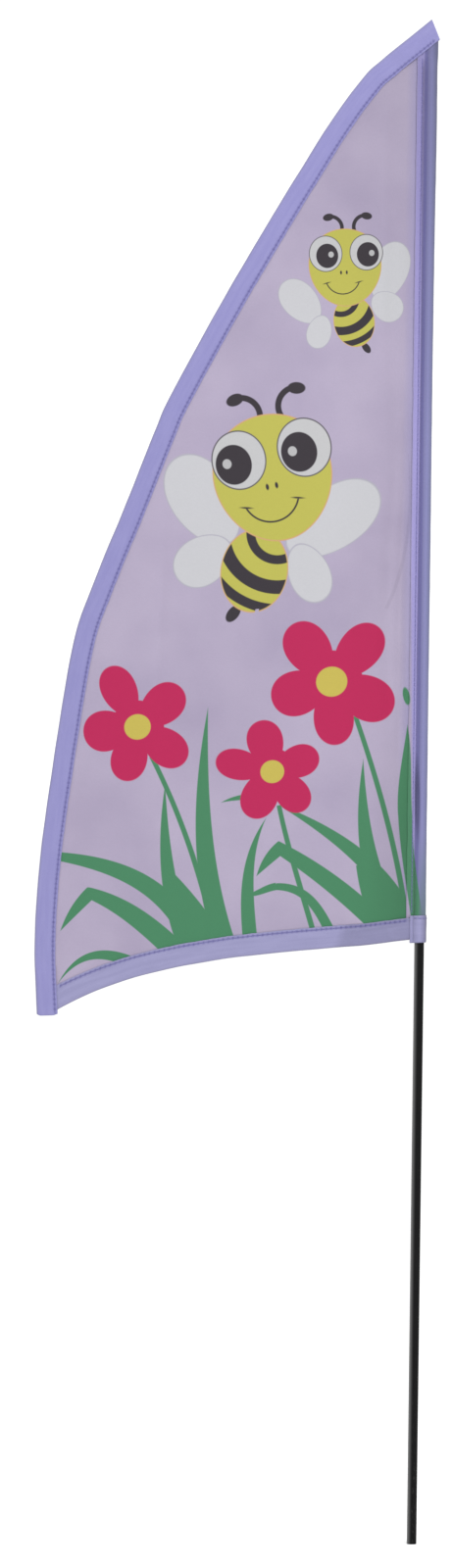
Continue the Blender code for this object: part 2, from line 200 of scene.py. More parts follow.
class EdgeLine:
    """The flag's curved edge in X and Z, read by the distance from the peak."""

    STEPS = 600

    def __init__(self, anchors):
        self.line = smooth_line(anchors)
        self.run = [0.0]
        for a, b in zip(self.line, self.line[1:]):
            self.run.append(self.run[-1] + (b - a).length)
        self.length = self.run[-1]
        self.heights = {}

    def place(self, along, inward):
        low, high = 0, len(self.run) - 2
        while low < high:
            half = (low + high + 1) // 2
            if self.run[half] <= along:
                low = half
            else:
                high = half - 1
        here = (self.line[low + 1] - self.line[max(low - 1, 0)]).normalized()
        there = (self.line[min(low + 2, len(self.line) - 1)] - self.line[low]).normalized()
        share = (along - self.run[low]) / (self.run[low + 1] - self.run[low])
        step = here.lerp(there, min(max(share, 0.0), 1.0)).normalized()
        base = self.line[low] + (self.line[low + 1] - self.line[low]).normalized() * (along - self.run[low])
        return base + Vector((-step.y, step.x)) * inward

    def x_at(self, z, inward):
        """X of the line that runs a distance inside the edge, at a height."""
        if inward not in self.heights:
            self.heights[inward] = [self.place(self.length * i / self.STEPS, inward)
                                    for i in range(self.STEPS + 1)]
        points = self.heights[inward]
        after = bisect.bisect_left(points, -z, key=lambda point: -point.y)
        after = min(max(after, 1), len(points) - 1)
        a, b = points[after - 1], points[after]
        return mix(a.x, b.x, min((a.y - z) / (a.y - b.y), 1.0))


LOWER_STEPS = 240
LOWER_POINTS = geometry.interpolate_bezier(*[Vector((x, z, 0.0)) for x, z in LOWER_EDGE], LOWER_STEPS)


def lower_height(x, inward=0.0):
    """Height of the lower edge at an X, or of a line a distance inside it."""
    after = bisect.bisect_left(LOWER_POINTS, x, key=lambda point: point.x)
    after = min(max(after, 1), len(LOWER_POINTS) - 1)
    a, b = LOWER_POINTS[after - 1], LOWER_POINTS[after]
    height = mix(a.y, b.y, (x - a.x) / (b.x - a.x))
    return height + inward * (b - a).length / (b.x - a.x)


LEADING = EdgeLine(LEADING_EDGE)
print("leading edge", round(LEADING.length / MM), "mm long")

# %% [markdown]
# ## Pieces from grids
# Cloth, tape and sleeve are all strips of fabric, so each begins as a flat grid. The grid's two directions
# run across and along the strip, and every vertex is then moved to where that spot of cloth hangs. The
# spot's place on the flat strip, in metres, is kept as a UV map, and the weave and the needle holes follow
# it round every bend. A Solidify modifier gives the cloth its thickness and closes its edges.

# %% Making and finishing a piece
def add_piece(name, bm, material, body, node, thickness=0.0):
    """Makes an object of a bmesh and ties it to its body, its finish and the CAD node it stands for."""
    bmesh.ops.recalc_face_normals(bm, faces=bm.faces)
    mesh = bpy.data.meshes.new(name)
    bm.to_mesh(mesh)
    bm.free()
    mesh.shade_smooth()
    mesh.materials.append(material)
    piece = bpy.data.objects.new(name, mesh)
    scene.collection.objects.link(piece)
    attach(piece, body)
    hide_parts(node)
    if thickness:
        shell = piece.modifiers.new("cloth_thickness", "SOLIDIFY")
        shell.thickness = thickness
        shell.offset = 0.0
        shell.use_even_offset = True
    report(piece, node)
    return piece


def report(piece, node):
    """Prints how many faces a piece has and how far its box is from its CAD node's, in millimetres."""
    points = [vert.co for vert in piece.data.vertices]
    own = [limit(p[axis] for p in points) for limit in (min, max) for axis in range(3)]
    low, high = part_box(node)
    off = [round((a - b) / MM, 2) for a, b in zip(own, (*low, *high))]
    print(piece.name, len(piece.data.polygons), "faces, off its node by", off)


def cloth_strip(bm, columns, rows, place, flat=None):
    """Adds a grid whose vertices go to place(u, v), with u and v from 0 to 1. Their UV is flat(u, v), or
    without it the X and Z that they hang at."""
    made = bmesh.ops.create_grid(bm, x_segments=columns, y_segments=rows, size=0.5)["verts"]
    uv_layer = bm.loops.layers.uv.verify()
    spots = {vert: (vert.co.x + 0.5, vert.co.y + 0.5) for vert in made}
    for vert, (u, v) in spots.items():
        vert.co = place(u, v)
    for face in {face for vert in made for face in vert.link_faces}:
        for loop in face.loops:
            loop[uv_layer].uv = flat(*spots[loop.vert]) if flat else loop.vert.co.xz


# %% [markdown]
# ## Shader maths as sentences
# A material's pattern is arithmetic on coordinates. Wiring Math nodes by hand soon becomes unreadable, so
# a small class wraps a socket: adding or multiplying two fields adds the node that does it. Colours are
# blended by Mix nodes, because a Math node would turn them grey.

# %% Field and Finish
class Field:
    """A value that varies over a surface: an output socket that understands arithmetic."""

    def __init__(self, finish, socket):
        self.finish = finish
        self.socket = socket

    def math(self, operation, *others, clamp=False):
        values = dict(enumerate((self, *others)))
        return self.finish.node("ShaderNodeMath", {"operation": operation, "use_clamp": clamp}, values)

    def flipped(self, operation, other):
        return self.finish.node("ShaderNodeMath", {"operation": operation}, {0: other, 1: self})

    def __add__(self, other):
        return self.math("ADD", other)

    def __radd__(self, other):
        return self.flipped("ADD", other)

    def __sub__(self, other):
        return self.math("SUBTRACT", other)

    def __rsub__(self, other):
        return self.flipped("SUBTRACT", other)

    def __mul__(self, other):
        return self.math("MULTIPLY", other)

    def __rmul__(self, other):
        return self.flipped("MULTIPLY", other)

    def __truediv__(self, other):
        return self.math("DIVIDE", other)

    def __abs__(self):
        return self.math("ABSOLUTE")

    def sine(self):
        return self.math("SINE")

    def limit(self):
        """The value kept between 0 and 1."""
        return self.math("ADD", 0.0, clamp=True)

    def either(self, other):
        return self.math("MAXIMUM", other)

    def both(self, other):
        return self.math("MINIMUM", other)

    def step(self, start, end):
        """0 at start, 1 at end, and an even slope between, whichever of the two is larger."""
        scale = 1.0 / (end - start)
        return self.math("MULTIPLY_ADD", scale, -start * scale, clamp=True)


class Finish:
    """A material under construction, with its shader's plain values set on the shader itself."""

    def __init__(self, name, **plain):
        self.material = bpy.data.materials.new(name)
        self.material.use_nodes = True
        self.tree = self.material.node_tree
        self.shader = self.tree.nodes["Principled BSDF"]
        for key, value in plain.items():
            self.shader.inputs[key.replace("_", " ").title().replace("Ior", "IOR")].default_value = value

    def node(self, kind, settings=None, sockets=None, output=0):
        """Any node: its type, its settings, and the values or links of its sockets."""
        made = self.tree.nodes.new(kind)
        for name, value in (settings or {}).items():
            if name == "stops":
                points = made.color_ramp.elements
                while len(points) < len(value):
                    points.new(0.5)
                for point, (position, color) in zip(points, value):
                    point.position = position
                    point.color = (*color, 1.0)
            else:
                setattr(made, name, value)
        for name, value in (sockets or {}).items():
            if isinstance(value, Field):
                self.tree.links.new(value.socket, made.inputs[name])
            else:
                made.inputs[name].default_value = value
        return Field(self, made.outputs[output])

    def over(self, ground, color, mask):
        """Color laid over ground where mask is 1."""
        color = color if isinstance(color, Field) else (*color, 1.0)
        ground = ground if isinstance(ground, Field) else (*ground, 1.0)
        return self.node("ShaderNodeMix", {"data_type": "RGBA"}, {0: mask, 6: ground, 7: color}, output=2)

    def tint(self, color, amount):
        """Color made lighter or darker: amount is a factor near 1."""
        grey = self.node("ShaderNodeCombineColor", None, {0: amount, 1: amount, 2: amount})
        return self.node("ShaderNodeMix", {"data_type": "RGBA", "blend_type": "MULTIPLY"},
                         {0: 1.0, 6: color, 7: grey}, output=2)

    def noise(self, at, scale, detail=2.0, roughness=0.5):
        """Soft random spots from 0 to 1. Scale is how many spots fit one unit of the coordinates."""
        return self.node("ShaderNodeTexNoise", None,
                         {"Vector": at, "Scale": scale, "Detail": detail, "Roughness": roughness})

    def parts(self, vector):
        """X, Y and Z of a vector."""
        split = self.tree.nodes.new("ShaderNodeSeparateXYZ")
        self.tree.links.new(vector.socket, split.inputs[0])
        return [Field(self, output) for output in split.outputs]

    def join(self, x, y, z):
        return self.node("ShaderNodeCombineXYZ", None, {0: x, 1: y, 2: z})

    def coordinates(self, kind="Object"):
        """The piece's own coordinates in millimetres."""
        source = self.tree.nodes.new("ShaderNodeTexCoord")
        return self.node("ShaderNodeVectorMath", {"operation": "SCALE"},
                         {0: Field(self, source.outputs[kind]), "Scale": 1.0 / MM})

    def relief(self, height, distance):
        """Feeds a height of 0 to 1, which stands for a distance in metres, to the shader's normal."""
        self.feed("Normal", self.node("ShaderNodeBump", None, {"Height": height, "Distance": distance}))

    def feed(self, socket, field):
        self.tree.links.new(field.socket, self.shader.inputs[socket])


# %% [markdown]
# ## Colours
# The inks are noted as they look on the finished flag, from 0 to 255, and turned into the share of light
# that the cloth sends back. World and key light together give the front of the flag more than white light
# of strength 1, so every colour is divided by that one number.

# %% Palette
LIGHT_ON_FLAG = 1.80


def seen(red, green, blue):
    """The paint that looks like this colour on the front of the flag."""
    linear = []
    for value in (red, green, blue):
        share = value / 255.0
        linear.append(share / 12.92 if share <= 0.04045 else ((share + 0.055) / 1.055) ** 2.4)
    return tuple(value / LIGHT_ON_FLAG for value in linear)


LILAC = seen(188, 177, 202)
LILAC_SHADE = seen(175, 164, 191)
VIOLET = seen(154, 151, 208)
VIOLET_LIGHT = seen(160, 157, 212)
VIOLET_PALE = seen(160, 158, 200)
VIOLET_PALE_LIGHT = seen(168, 166, 208)
VIOLET_GREY_FOLD = seen(158, 156, 190)
VIOLET_DEEP = seen(124, 120, 180)
VIOLET_HOLE = seen(106, 103, 164)
SLEEVE_VIOLET = seen(172, 164, 222)
SLEEVE_STREAK = seen(146, 142, 192)
HOLLOW_SHADE_VIOLET = seen(88, 86, 132)
# the rod showing through, with painted shade in the groove and on the far side and a lighter crest
ROD_THROUGH_AND_SHADE = [      # from the seam's side to the far side of the tube
    (0.00, seen(146, 140, 200)), (0.12, seen(124, 121, 182)), (0.26, seen(116, 113, 172)),
    (0.38, seen(132, 131, 180)), (0.62, seen(141, 141, 192)), (0.84, seen(128, 130, 174)),
    (1.00, seen(112, 114, 148)),
]
THREAD_DARK = seen(112, 108, 170)
THREAD_LIGHT = seen(140, 136, 198)
GREEN = seen(72, 137, 98)
GREEN_ROUND_THE_ROD = seen(80, 128, 108)
GREEN_HAZE_AND_SHADE = seen(104, 124, 134)
CRIMSON = seen(194, 31, 89)
HEART_YELLOW = seen(205, 188, 87)
BEE_YELLOW = seen(195, 191, 88)
BEE_ORANGE = seen(214, 170, 120)
WING = seen(207, 207, 212)
WING_EDGE = seen(182, 180, 192)
EYE_WHITE = seen(202, 202, 204)
EYE_LINE = seen(96, 92, 98)
INK = seen(56, 50, 57)
print("lilac cloth sends back", [round(c, 2) for c in LILAC])

# %% [markdown]
# ## Weave
# The panel is plain-woven polyester: each thread goes over one and under the next. Two crossed sine waves
# give that chequered relief at about three threads a millimetre, which is finer than any mesh should be,
# so it stays in the shader. A soft noise breaks it up, because no cloth is as even as a formula.

# %% Plain weave
THREAD_PITCH = 0.34     # millimetres from thread to thread


def plain_weave(finish, across, along, pitch=THREAD_PITCH):
    """Height of woven cloth from 0 to 1, where across and along are in millimetres."""
    turn = 2.0 * math.pi / (2.0 * pitch)
    warp = (across * turn).sine()
    weft = (along * turn).sine()
    return warp * weft * 0.5 + 0.5


# %% [markdown]
# ## The print
# The artwork is ink on cloth, so it is colour only, with no relief of its own. Flowers, grass and bees are
# plain shapes: ovals, egg shapes, rings and curved blades. Each shape function turns the flag's own
# millimetres into the shape's own frame with one Mapping node, measures how far out a spot lies, and
# returns a mask. The bees are put together from circles, ovals and rings, laid out as on the real flag, and
# one sketch serves for both: the second is smaller and mirrored.

# %% Shapes for the print
INK_EDGE = 0.45     # millimetres over which an ink edge fades


def frame_at(finish, at, centre, turn=0.0, size=(1.0, 1.0)):
    """The coordinates seen from a centre, with X turned by an angle in degrees and both axes scaled."""
    return finish.node("ShaderNodeMapping", {"vector_type": "TEXTURE"}, {
        "Vector": at, "Location": (centre[0], 0.0, centre[1]),
        "Rotation": (0.0, -math.radians(turn), 0.0), "Scale": (size[0], 1.0, size[1])})


def length_of(finish, vector):
    return finish.node("ShaderNodeVectorMath", {"operation": "LENGTH"}, {0: vector}, output=1)


def oval(finish, at, centre, half, turn=0.0, egg=0.0):
    """Distance from an oval's centre, 1 on its outline. An egg above 0 is blunter at its +X end."""
    own = frame_at(finish, at, centre, turn, half)
    if egg:
        x, _, z = finish.parts(own)
        own = finish.join(x, 0.0, z / (x * egg + 1.0))
    return length_of(finish, own)


def within(distance, half, edge=1.0):
    """Mask of what lies inside an oval, with an edge as soft as ink."""
    soft = 0.5 * INK_EDGE / min(half)
    return distance.step(edge + soft, edge - soft)


def dot(finish, at, centre, half, turn=0.0, egg=0.0):
    return within(oval(finish, at, centre, half, turn, egg), half)


def ring(finish, at, centre, radius, width):
    """Mask of a thin ring."""
    distance = length_of(finish, frame_at(finish, at, centre))
    return abs(distance - radius).step(width / 2 + INK_EDGE / 2, width / 2 - INK_EDGE / 2)


def blade(finish, at, tip, base, widths, lean=(0.0, 0.0)):
    """Mask of a leaf or a stem, from its tip to its base. Widths are half widths there, and lean says how
    far it bows to its left at one and at two thirds of its length, all in millimetres."""
    run = math.hypot(base[0] - tip[0], base[1] - tip[1])
    turn = math.degrees(math.atan2(base[1] - tip[1], base[0] - tip[0]))
    u, _, v = finish.parts(frame_at(finish, at, tip, turn, (run, 1.0)))
    start = 9.0 * lean[0] - 4.5 * lean[1]
    end = 9.0 * lean[1] - 4.5 * lean[0]
    bow = u * (1.0 - u) * (u * (end - start) + start)
    width = u * (2.0 - u) * (widths[1] - widths[0]) + widths[0]
    if max(map(abs, lean)) > 0.12 * run:
        slope = (u * (-3.0 * (end - start)) + 2.0 * (end - 2.0 * start)) * u + start
        width = width * ((slope * slope) / (run * run) + 1.0).math("SQRT")
    mask = (width - abs(v - bow)).step(-INK_EDGE / 2, INK_EDGE / 2)
    middle_half = 0.5 + 0.5 * INK_EDGE / run
    return mask.both(abs(u - 0.5).step(middle_half, middle_half - INK_EDGE / run))


# %% The printed grass and stems
STEM = (1.2, 1.4)
STEMS = [       # tip, base, lean
    ((-137.7, 400.0), (-104.0, 306.0), (3.0, 3.0)),
    ((-72.4, 376.0), (-53.0, 308.0), (-0.7, -0.4)),
    ((-34.0, 422.0), (-6.2, 316.0), (2.4, 2.6)),
]
GRASS = [       # tip, base, half widths, lean
    ((-109.2, 425.5), (-98.6, 304.0), (0.0, 5.5), (-5.6, -6.4)),
    ((-130.6, 386.0), (-117.0, 300.0), (0.0, 4.6), (-4.2, -4.6)),
    ((-194.0, 349.5), (-114.0, 303.0), (1.6, 5.1), (11.5, 13.5)),
    ((-183.1, 310.4), (-167.0, 331.0), (0.0, 3.2), (0.8, 0.8)),
    ((-170.5, 330.6), (-120.0, 297.0), (2.8, 5.6), (3.6, 3.0)),
    ((-183.7, 284.0), (-137.0, 290.5), (0.0, 3.0), (11.0, 9.2)),
    ((-78.8, 369.5), (-86.0, 305.0), (0.0, 3.8), (-5.2, -4.2)),
    ((-101.9, 377.0), (-86.0, 380.4), (0.0, 1.5), (0.6, 0.5)),
    ((-70.9, 375.5), (-5.0, 316.0), (0.4, 4.8), (6.5, 7.4)),
    ((-83.4, 339.7), (-70.0, 355.5), (0.0, 3.3), (0.8, 0.8)),
    ((-74.0, 355.3), (-20.0, 315.0), (3.0, 5.0), (2.0, 2.0)),
    ((-86.0, 330.2), (-73.0, 334.6), (0.9, 1.9), (0.0, 0.3)),
    ((-74.6, 334.4), (-45.0, 311.0), (1.7, 2.6), (6.3, 5.0)),
    ((-29.7, 400.0), (-12.0, 316.0), (0.0, 5.2), (-5.5, -6.2)),
    ((-128.0, 339.0), (-104.0, 296.0), (3.0, 10.0), (0.0, 0.0)),
    ((-30.0, 347.0), (-14.0, 314.0), (3.0, 9.0), (0.0, 0.0)),
]
SLEEVE_LEAF = [
    ((-7.4, 418.0), (-8.0, 371.5), (0.0, 3.6), (0.0, -0.5)),
    ((-8.0, 372.5), (-1.5, 320.0), (3.6, 2.9), (-0.85, -0.6)),
]
SLEEVE_SPECK = ((-8.1, 432.5), (1.7, 4.6), 12.0)
SLEEVE_HOLLOW_SHADE = ((-1.9, 380.0), (26.0, 1.8), 91.2)


def leaf_by_the_sleeve(finish, at):
    """The leaf that grows across the sleeve's edge, and the speck of green above it."""
    mask = dot(finish, at, *SLEEVE_SPECK)
    for part in SLEEVE_LEAF:
        mask = mask.either(blade(finish, at, *part))
    return mask


def grass(finish, at):
    """Mask of everything green."""
    mask = leaf_by_the_sleeve(finish, at)
    for tip, base, lean in STEMS:
        mask = mask.either(blade(finish, at, tip, base, STEM, lean))
    for tip, base, widths, lean in GRASS:
        mask = mask.either(blade(finish, at, tip, base, widths, lean))
    return mask


# %% The printed flowers
FLOWERS = [     # centre, heart's radius, petals as direction, reach, half length and half width
    ((-46.3, 439.4), 8.0, [(126, 20.0, 15.5, 11.4), (50, 21.0, 15.8, 10.6), (-24, 19.0, 15.4, 11.4),
                           (-86, 17.0, 15.4, 10.2), (-161, 17.6, 14.4, 11.4)]),
    ((-145.1, 415.1), 6.8, [(117, 20.4, 13.6, 9.0), (42, 16.8, 13.2, 9.8), (-172, 15.6, 12.2, 10.4),
                            (-35, 17.2, 13.0, 9.4), (-104, 15.6, 12.8, 9.2)]),
    ((-76.0, 393.1), 6.1, [(104, 15.0, 11.8, 9.2), (169, 16.8, 12.6, 7.8), (22, 13.8, 11.4, 8.2),
                           (-116, 13.0, 13.0, 9.2), (-47, 14.0, 11.8, 8.4)]),
]
EYE_OF_PETALS = 2.0     # radius of the crimson middle that joins the petals, in hearts


def flowers(finish, at, ground):
    petals = None
    hearts = None
    for centre, heart, blossom in FLOWERS:
        for direction, reach, long, wide in blossom:
            angle = math.radians(direction)
            spot = (centre[0] + reach * math.cos(angle), centre[1] + reach * math.sin(angle))
            petal = dot(finish, at, spot, (long, wide), direction, egg=0.12)
            petals = petals.either(petal) if petals else petal
        joined = EYE_OF_PETALS * heart
        petals = petals.either(dot(finish, at, centre, (joined, joined)))
        middle_dot = dot(finish, at, centre, (heart, heart * 0.95), 20.0)
        hearts = hearts.either(middle_dot) if hearts else middle_dot
    ground = finish.over(ground, CRIMSON, petals)
    return finish.over(ground, HEART_YELLOW, hearts)


# %% The printed bees
WIDE_WINGS = [      # centre, half length and width, direction of the blunt end
    ((-35.0, -12.5), (26.0, 16.2), 124.0),
    ((31.2, -21.3), (28.0, 15.4), 36.0),
    ((-34.6, -43.0), (16.4, 12.4), 214.0),
    ((19.4, -48.8), (16.0, 10.7), -66.0),
]
RAISED_WINGS = [
    ((-37.4, -3.0), (26.0, 15.6), 110.0),
    ((36.6, -29.5), (21.8, 14.6), 47.0),
    ((-35.8, -32.4), (14.4, 12.4), 215.0),
    ((20.5, -54.6), (14.4, 10.4), -75.0),
]
BEES = [        # middle of the head, size, side, turn of the head, wings, height of the body, sway
    ((-78.0, 543.5), 1.0, 1.0, 12.0, WIDE_WINGS, -48.0, 5.0),
    ((-42.4, 651.0), 0.61, -1.0, -3.0, RAISED_WINGS, -45.5, -4.0),
]
STRIPES = [(13.5, 4.6), (27.5, 7.0), (38.6, 5.0)]      # radius and width of rings about one centre
CREASE_SHADE = ((-8.6, 556.0), (-19.0, 477.0), (0.1, 0.9), (4.4, 5.0))


def wings(finish, own, ground, outlines):
    for centre, half, direction in outlines:
        distance = oval(finish, own, centre, half, direction, egg=0.1)
        ground = finish.over(ground, WING_EDGE, within(distance, half))
        ground = finish.over(ground, WING, within(distance, half, 1.0 - 0.5 / min(half)))
    return ground


def body(finish, own, ground, height):
    """The oval body with its stripes and its sting."""
    tail = frame_at(finish, own, (-8.5, height), -10.0)
    ground = finish.over(ground, INK, dot(finish, tail, (-6.5, -23.5), (5.0, 2.9), 62.0))
    half = (17.2, 21.5)
    distance = oval(finish, tail, (0.0, 0.0), half)
    ground = finish.over(ground, BEE_ORANGE, within(distance, half))
    inside = within(distance, half, 0.97)
    ground = finish.over(ground, BEE_YELLOW, inside)
    stripes = None
    for radius, width in STRIPES:
        band = ring(finish, tail, (8.0, 21.0), radius, width)
        stripes = stripes.either(band) if stripes else band
    return finish.over(ground, INK, stripes * inside)


def feelers(finish, face, ground, sway):
    x, _, z = finish.parts(face)
    both = None
    for way in (-1.0, 1.0):
        arc = ring(finish, face, (14.5 * way + sway, 33.0), 9.6, 3.1)
        arc = arc.both(((x - sway) * way).step(15.2, 14.7)).both(z.step(29.0, 29.5))
        tip = dot(finish, face, (16.0 * way + sway, 42.0), (4.6, 3.0), -12.0 * way)
        both = both.either(arc).either(tip) if both else arc.either(tip)
    return finish.over(ground, INK, both)


def smile(finish, face, ground, sway):
    """A thin curved mouth with its corners, and two small dots above it."""
    middle_x = -0.5 * sway
    mask = ring(finish, face, (middle_x, -8.2), 14.4, 0.9).both(finish.parts(face)[2].step(-13.0, -13.5))
    for way in (-1.0, 1.0):
        mask = mask.either(dot(finish, face, (13.4 * way + middle_x, -13.0), (3.0, 0.45), -14.0))
        mask = mask.either(dot(finish, face, (2.4 * way - 0.2 * sway, -4.6), (0.8, 1.6)))
    return finish.over(ground, INK, mask)


def eye(finish, face, ground, way, sway):
    half = (14.0, 15.2)
    white = oval(finish, face, (17.0 * way + 0.4 * sway, 11.6), half)
    ground = finish.over(ground, EYE_LINE, within(white, half))
    ground = finish.over(ground, EYE_WHITE, within(white, half, 0.955))
    pupil = (17.0 * way + 0.2 * sway - 2.0, 9.8)
    ground = finish.over(ground, INK, dot(finish, face, pupil, (9.2, 10.2)))
    glint = dot(finish, face, (pupil[0] - 3.3, pupil[1] + 1.0), (2.3, 2.5))
    return finish.over(ground, EYE_WHITE, glint * 0.85)


def bee(finish, at, ground, head_at, size, side, head_turn, outlines, tail_height, sway):
    """Draws one bee in its own millimetres, measured from the middle of its head."""
    own = frame_at(finish, at, head_at, 0.0, (size * side, size))
    ground = body(finish, own, wings(finish, own, ground, outlines), tail_height)
    face = frame_at(finish, own, (0.0, 0.0), head_turn)
    ground = feelers(finish, face, ground, sway)
    half = (32.6, 30.4)
    head = oval(finish, face, (0.1 * sway, -0.5), half, 90.0, egg=0.08)
    ground = finish.over(ground, BEE_ORANGE, within(head, half))
    ground = finish.over(ground, BEE_YELLOW, within(head, half, 0.98))
    ground = smile(finish, face, ground, sway)
    for way in (-1.0, 1.0):
        ground = eye(finish, face, ground, way, sway)
    return ground


# %% Meadow and swarm
def meadow(finish, at, ground):
    """The inks of the lower part: grass, with the flowers over it."""
    return flowers(finish, at, finish.over(ground, GREEN, grass(finish, at)))


def swarm(finish, at, ground):
    """The inks of the upper part, both bees, over a painted shade along the crease where the cloth is pulled
    to the pole.
    """
    crease = blade(finish, at, *CREASE_SHADE)
    # Painted shade: the ground is darkened along the crease.
    ground = finish.over(ground, finish.tint(ground, 0.86), crease * 0.6)
    for sketch in BEES:
        ground = bee(finish, at, ground, *sketch)
    return ground


# %% [markdown]
# ## Printed cloth
# Thin polyester has a dry sheen and is never quite one colour: the dye is a little lighter here and there
# and every thread catches the light. Broad noise shifts the ground between two lilacs, finer noise speckles
# it, and the weave feeds the bump. Sheen is the same all over, so it is set on the shader's own socket.
# A renderer can hold only so many node values at a time, so the meadow and the bees are two materials of
# the same cloth, and each face of the panel takes the one whose shapes it carries.

# %% Cloth of the panel
POLE_CORNER = ((-5.0, 350.0), 0.0, (26.0, 85.0))      # the shaded corner at the pole's side
PEAK_SHADE = (600.0, 745.0)                           # heights between which the cloth gets darker


def cloth_finish(name):
    return Finish(name, roughness=0.82, sheen_weight=0.12, sheen_roughness=0.45, specular_ior_level=0.25)


def make_printed_cloth(name, inks):
    finish = cloth_finish(name)
    at = finish.coordinates()
    x, _, z = finish.parts(at)
    broad = finish.noise(at, 0.018, 3.0)
    ground = finish.over(LILAC_SHADE, LILAC, broad.step(0.30, 0.62))
    corner = length_of(finish, frame_at(finish, at, *POLE_CORNER)).step(1.0, 0.2)
    pole_side_shade = x.step(-45.0, -6.0)
    ground = finish.over(ground, VIOLET, x.step(-12.0, -7.0) * 0.4)
    color = inks(finish, finish.join(x, 0.0, z), ground)
    weave = plain_weave(finish, x, z)
    slubs = finish.noise(finish.join(x * 0.25, 0.0, z * 3.0), 1.0, 2.0)
    speckle = finish.noise(at, 1.1, 3.0, 0.7)
    light = weave * 0.05 + speckle * 0.10 + slubs * 0.05 + 0.90
    # Painted shade: the cloth is darkened in the corner by the pole, along the pole and towards the peak.
    light = light - corner * 0.14 - pole_side_shade * 0.05 - z.step(*PEAK_SHADE) * 0.11
    finish.feed("Base Color", finish.tint(color, light))
    finish.feed("Roughness", speckle * 0.14 + 0.75)
    finish.relief(weave * 0.7 + speckle * 0.3, 0.00006)
    return finish.material


meadow_cloth = make_printed_cloth("printed_meadow", meadow)
swarm_cloth = make_printed_cloth("printed_bees", swarm)
for cloth in (meadow_cloth, swarm_cloth):
    print(cloth.name, "has", len(cloth.node_tree.nodes), "nodes")

# %% [markdown]
# ## Violet tape and sleeve cloth
# The edging is a ribbon of violet polyester, folded in half over the edge of the panel and sewn through
# both halves. The needle pulls a small dimple and leaves a darker hole at every stitch. A soft band of
# painted shade runs along the seam, and the fold's outer edge is painted a little greyer. Those marks
# follow the tape, so they read its UV map: U runs along the tape and V from its folded edge to its sewn
# edge, both in metres.

# %% Finish of the tapes
STITCH_PITCH = 2.5              # millimetres, as in the next line
RIBBON_THREAD_PITCH = 0.28
SEAM_INSET = 0.0013             # from a tape's sewn edge to its seam


def needle_marks(finish, along, off_line, radius=0.75):
    """Mask of the holes where the stitches meet, along a seam."""
    phase = (along / STITCH_PITCH).math("FRACT")
    near = (abs(phase - 0.5) - 0.5) * STITCH_PITCH
    reach = (near * near + off_line * off_line * 0.8).math("SQRT")
    return reach.step(radius, 0.0)


TWIST_SHADE = (143.0, 148.0)    # along the lower tape, where it turns away from the light
MOUTH_FRONT = (190.0, 184.0)    # and where the wrapped mouth catches the light again
# and where the far side of the wrapped mouth gets painted shade
MOUTH_FAR_SIDE_SHADE = ((196.5, 201.0), (207.0, 202.5))


def make_tape_finish(name, color, pale, width, seed, sewn, near_the_pole):
    """Ribbon whose seam runs between two places, and which is shaded if it passes the pole."""
    finish = cloth_finish(name)
    along, inward, _ = finish.parts(finish.coordinates("UV"))
    streak = finish.noise(finish.join(along * 0.05 + seed, inward * 0.5, 0.0), 1.0, 3.0)
    ground = finish.over(color, pale, streak.step(0.35, 0.7))
    # The fold's outer edge is painted a little greyer.
    ground = finish.over(ground, VIOLET_GREY_FOLD, inward.step(1.2, 0.0) * 0.55)
    uneven = finish.noise(finish.join(along * 0.35, seed, 0.0), 1.0, 1.0).step(0.25, 0.6)
    sewn_here = along.step(sewn[0] - 0.5, sewn[0]).both(along.step(sewn[1] + 0.5, sewn[1]))
    off_line = inward - (width - SEAM_INSET) / MM
    marks = needle_marks(finish, along, off_line, 0.95) * (uneven * 0.5 + 0.5) * sewn_here
    # Painted shade: a soft darker band along the seam.
    seam_shadow = abs(off_line).step(1.3, 0.2) * sewn_here
    ground = finish.over(ground, VIOLET_DEEP, seam_shadow * 0.35)
    ground = finish.over(ground, VIOLET_HOLE, marks)
    weave = plain_weave(finish, along, inward, RIBBON_THREAD_PITCH)
    speckle = finish.noise(finish.coordinates(), 1.4, 3.0, 0.7)
    light = weave * 0.06 + speckle * 0.12 + 0.88
    if near_the_pole:
        # Painted shade: darker where the lower tape twists near the pole and on the far side of the wrapped
        # mouth.
        twisted = (along - inward * 0.35).step(*TWIST_SHADE).both(along.step(*MOUTH_FRONT))
        start, end = MOUTH_FAR_SIDE_SHADE
        light = light - twisted * 0.19 - along.step(*start).both(along.step(*end)) * 0.55
    finish.feed("Base Color", finish.tint(ground, light))
    finish.feed("Roughness", speckle * 0.16 + 0.70)
    finish.relief(weave * 0.6 + speckle * 0.4 - marks * 1.2, 0.00008)
    return finish.material


# %% [markdown]
# ## Leading edge tape
# The tape is a U in section: front half, fold, back half. It could be a curve with a bevel shape, but then
# it would have no dimples and no open edge. A grid whose columns go round the U and whose rows run along
# the flag's edge takes every wrinkle. Cloth gathers a little between stitches, so the tape stands proud
# there and lies flat on the seam. Where it crosses another sewn layer, its halves open further.

# %% Tape section
LEADING_WIDTH = 0.0105
LOWER_WIDTH = 0.0110
TAPE_LIFT = 0.00046         # middle of a tape's wall from the middle of the panel
TAPE_WALL = 0.00024
TAPE_SPREAD = 0.0006
FOLD_REACH = 0.0012         # how far inside its folded edge a tape reaches its full lift
THINNEST_LIFT = 0.00032     # a tape never gets closer to the panel's middle
TAPE_COLUMNS = 34
COLUMN_CROWDING = 1.35      # above 1, columns crowd towards the fold
STITCH = STITCH_PITCH * MM
SEAM_DIP = 0.00010          # depths and heights of the tape's unevenness
PUFF = 0.00020
SMALL_CREASE = 0.00012
PUCKER = 0.00016
TOP_CROSSING = (0.020, 0.030)       # along the leading tape, where the sleeve's top ends
END_CROSSING = (0.028, 0.018)       # and how far from its other end the lower tape begins


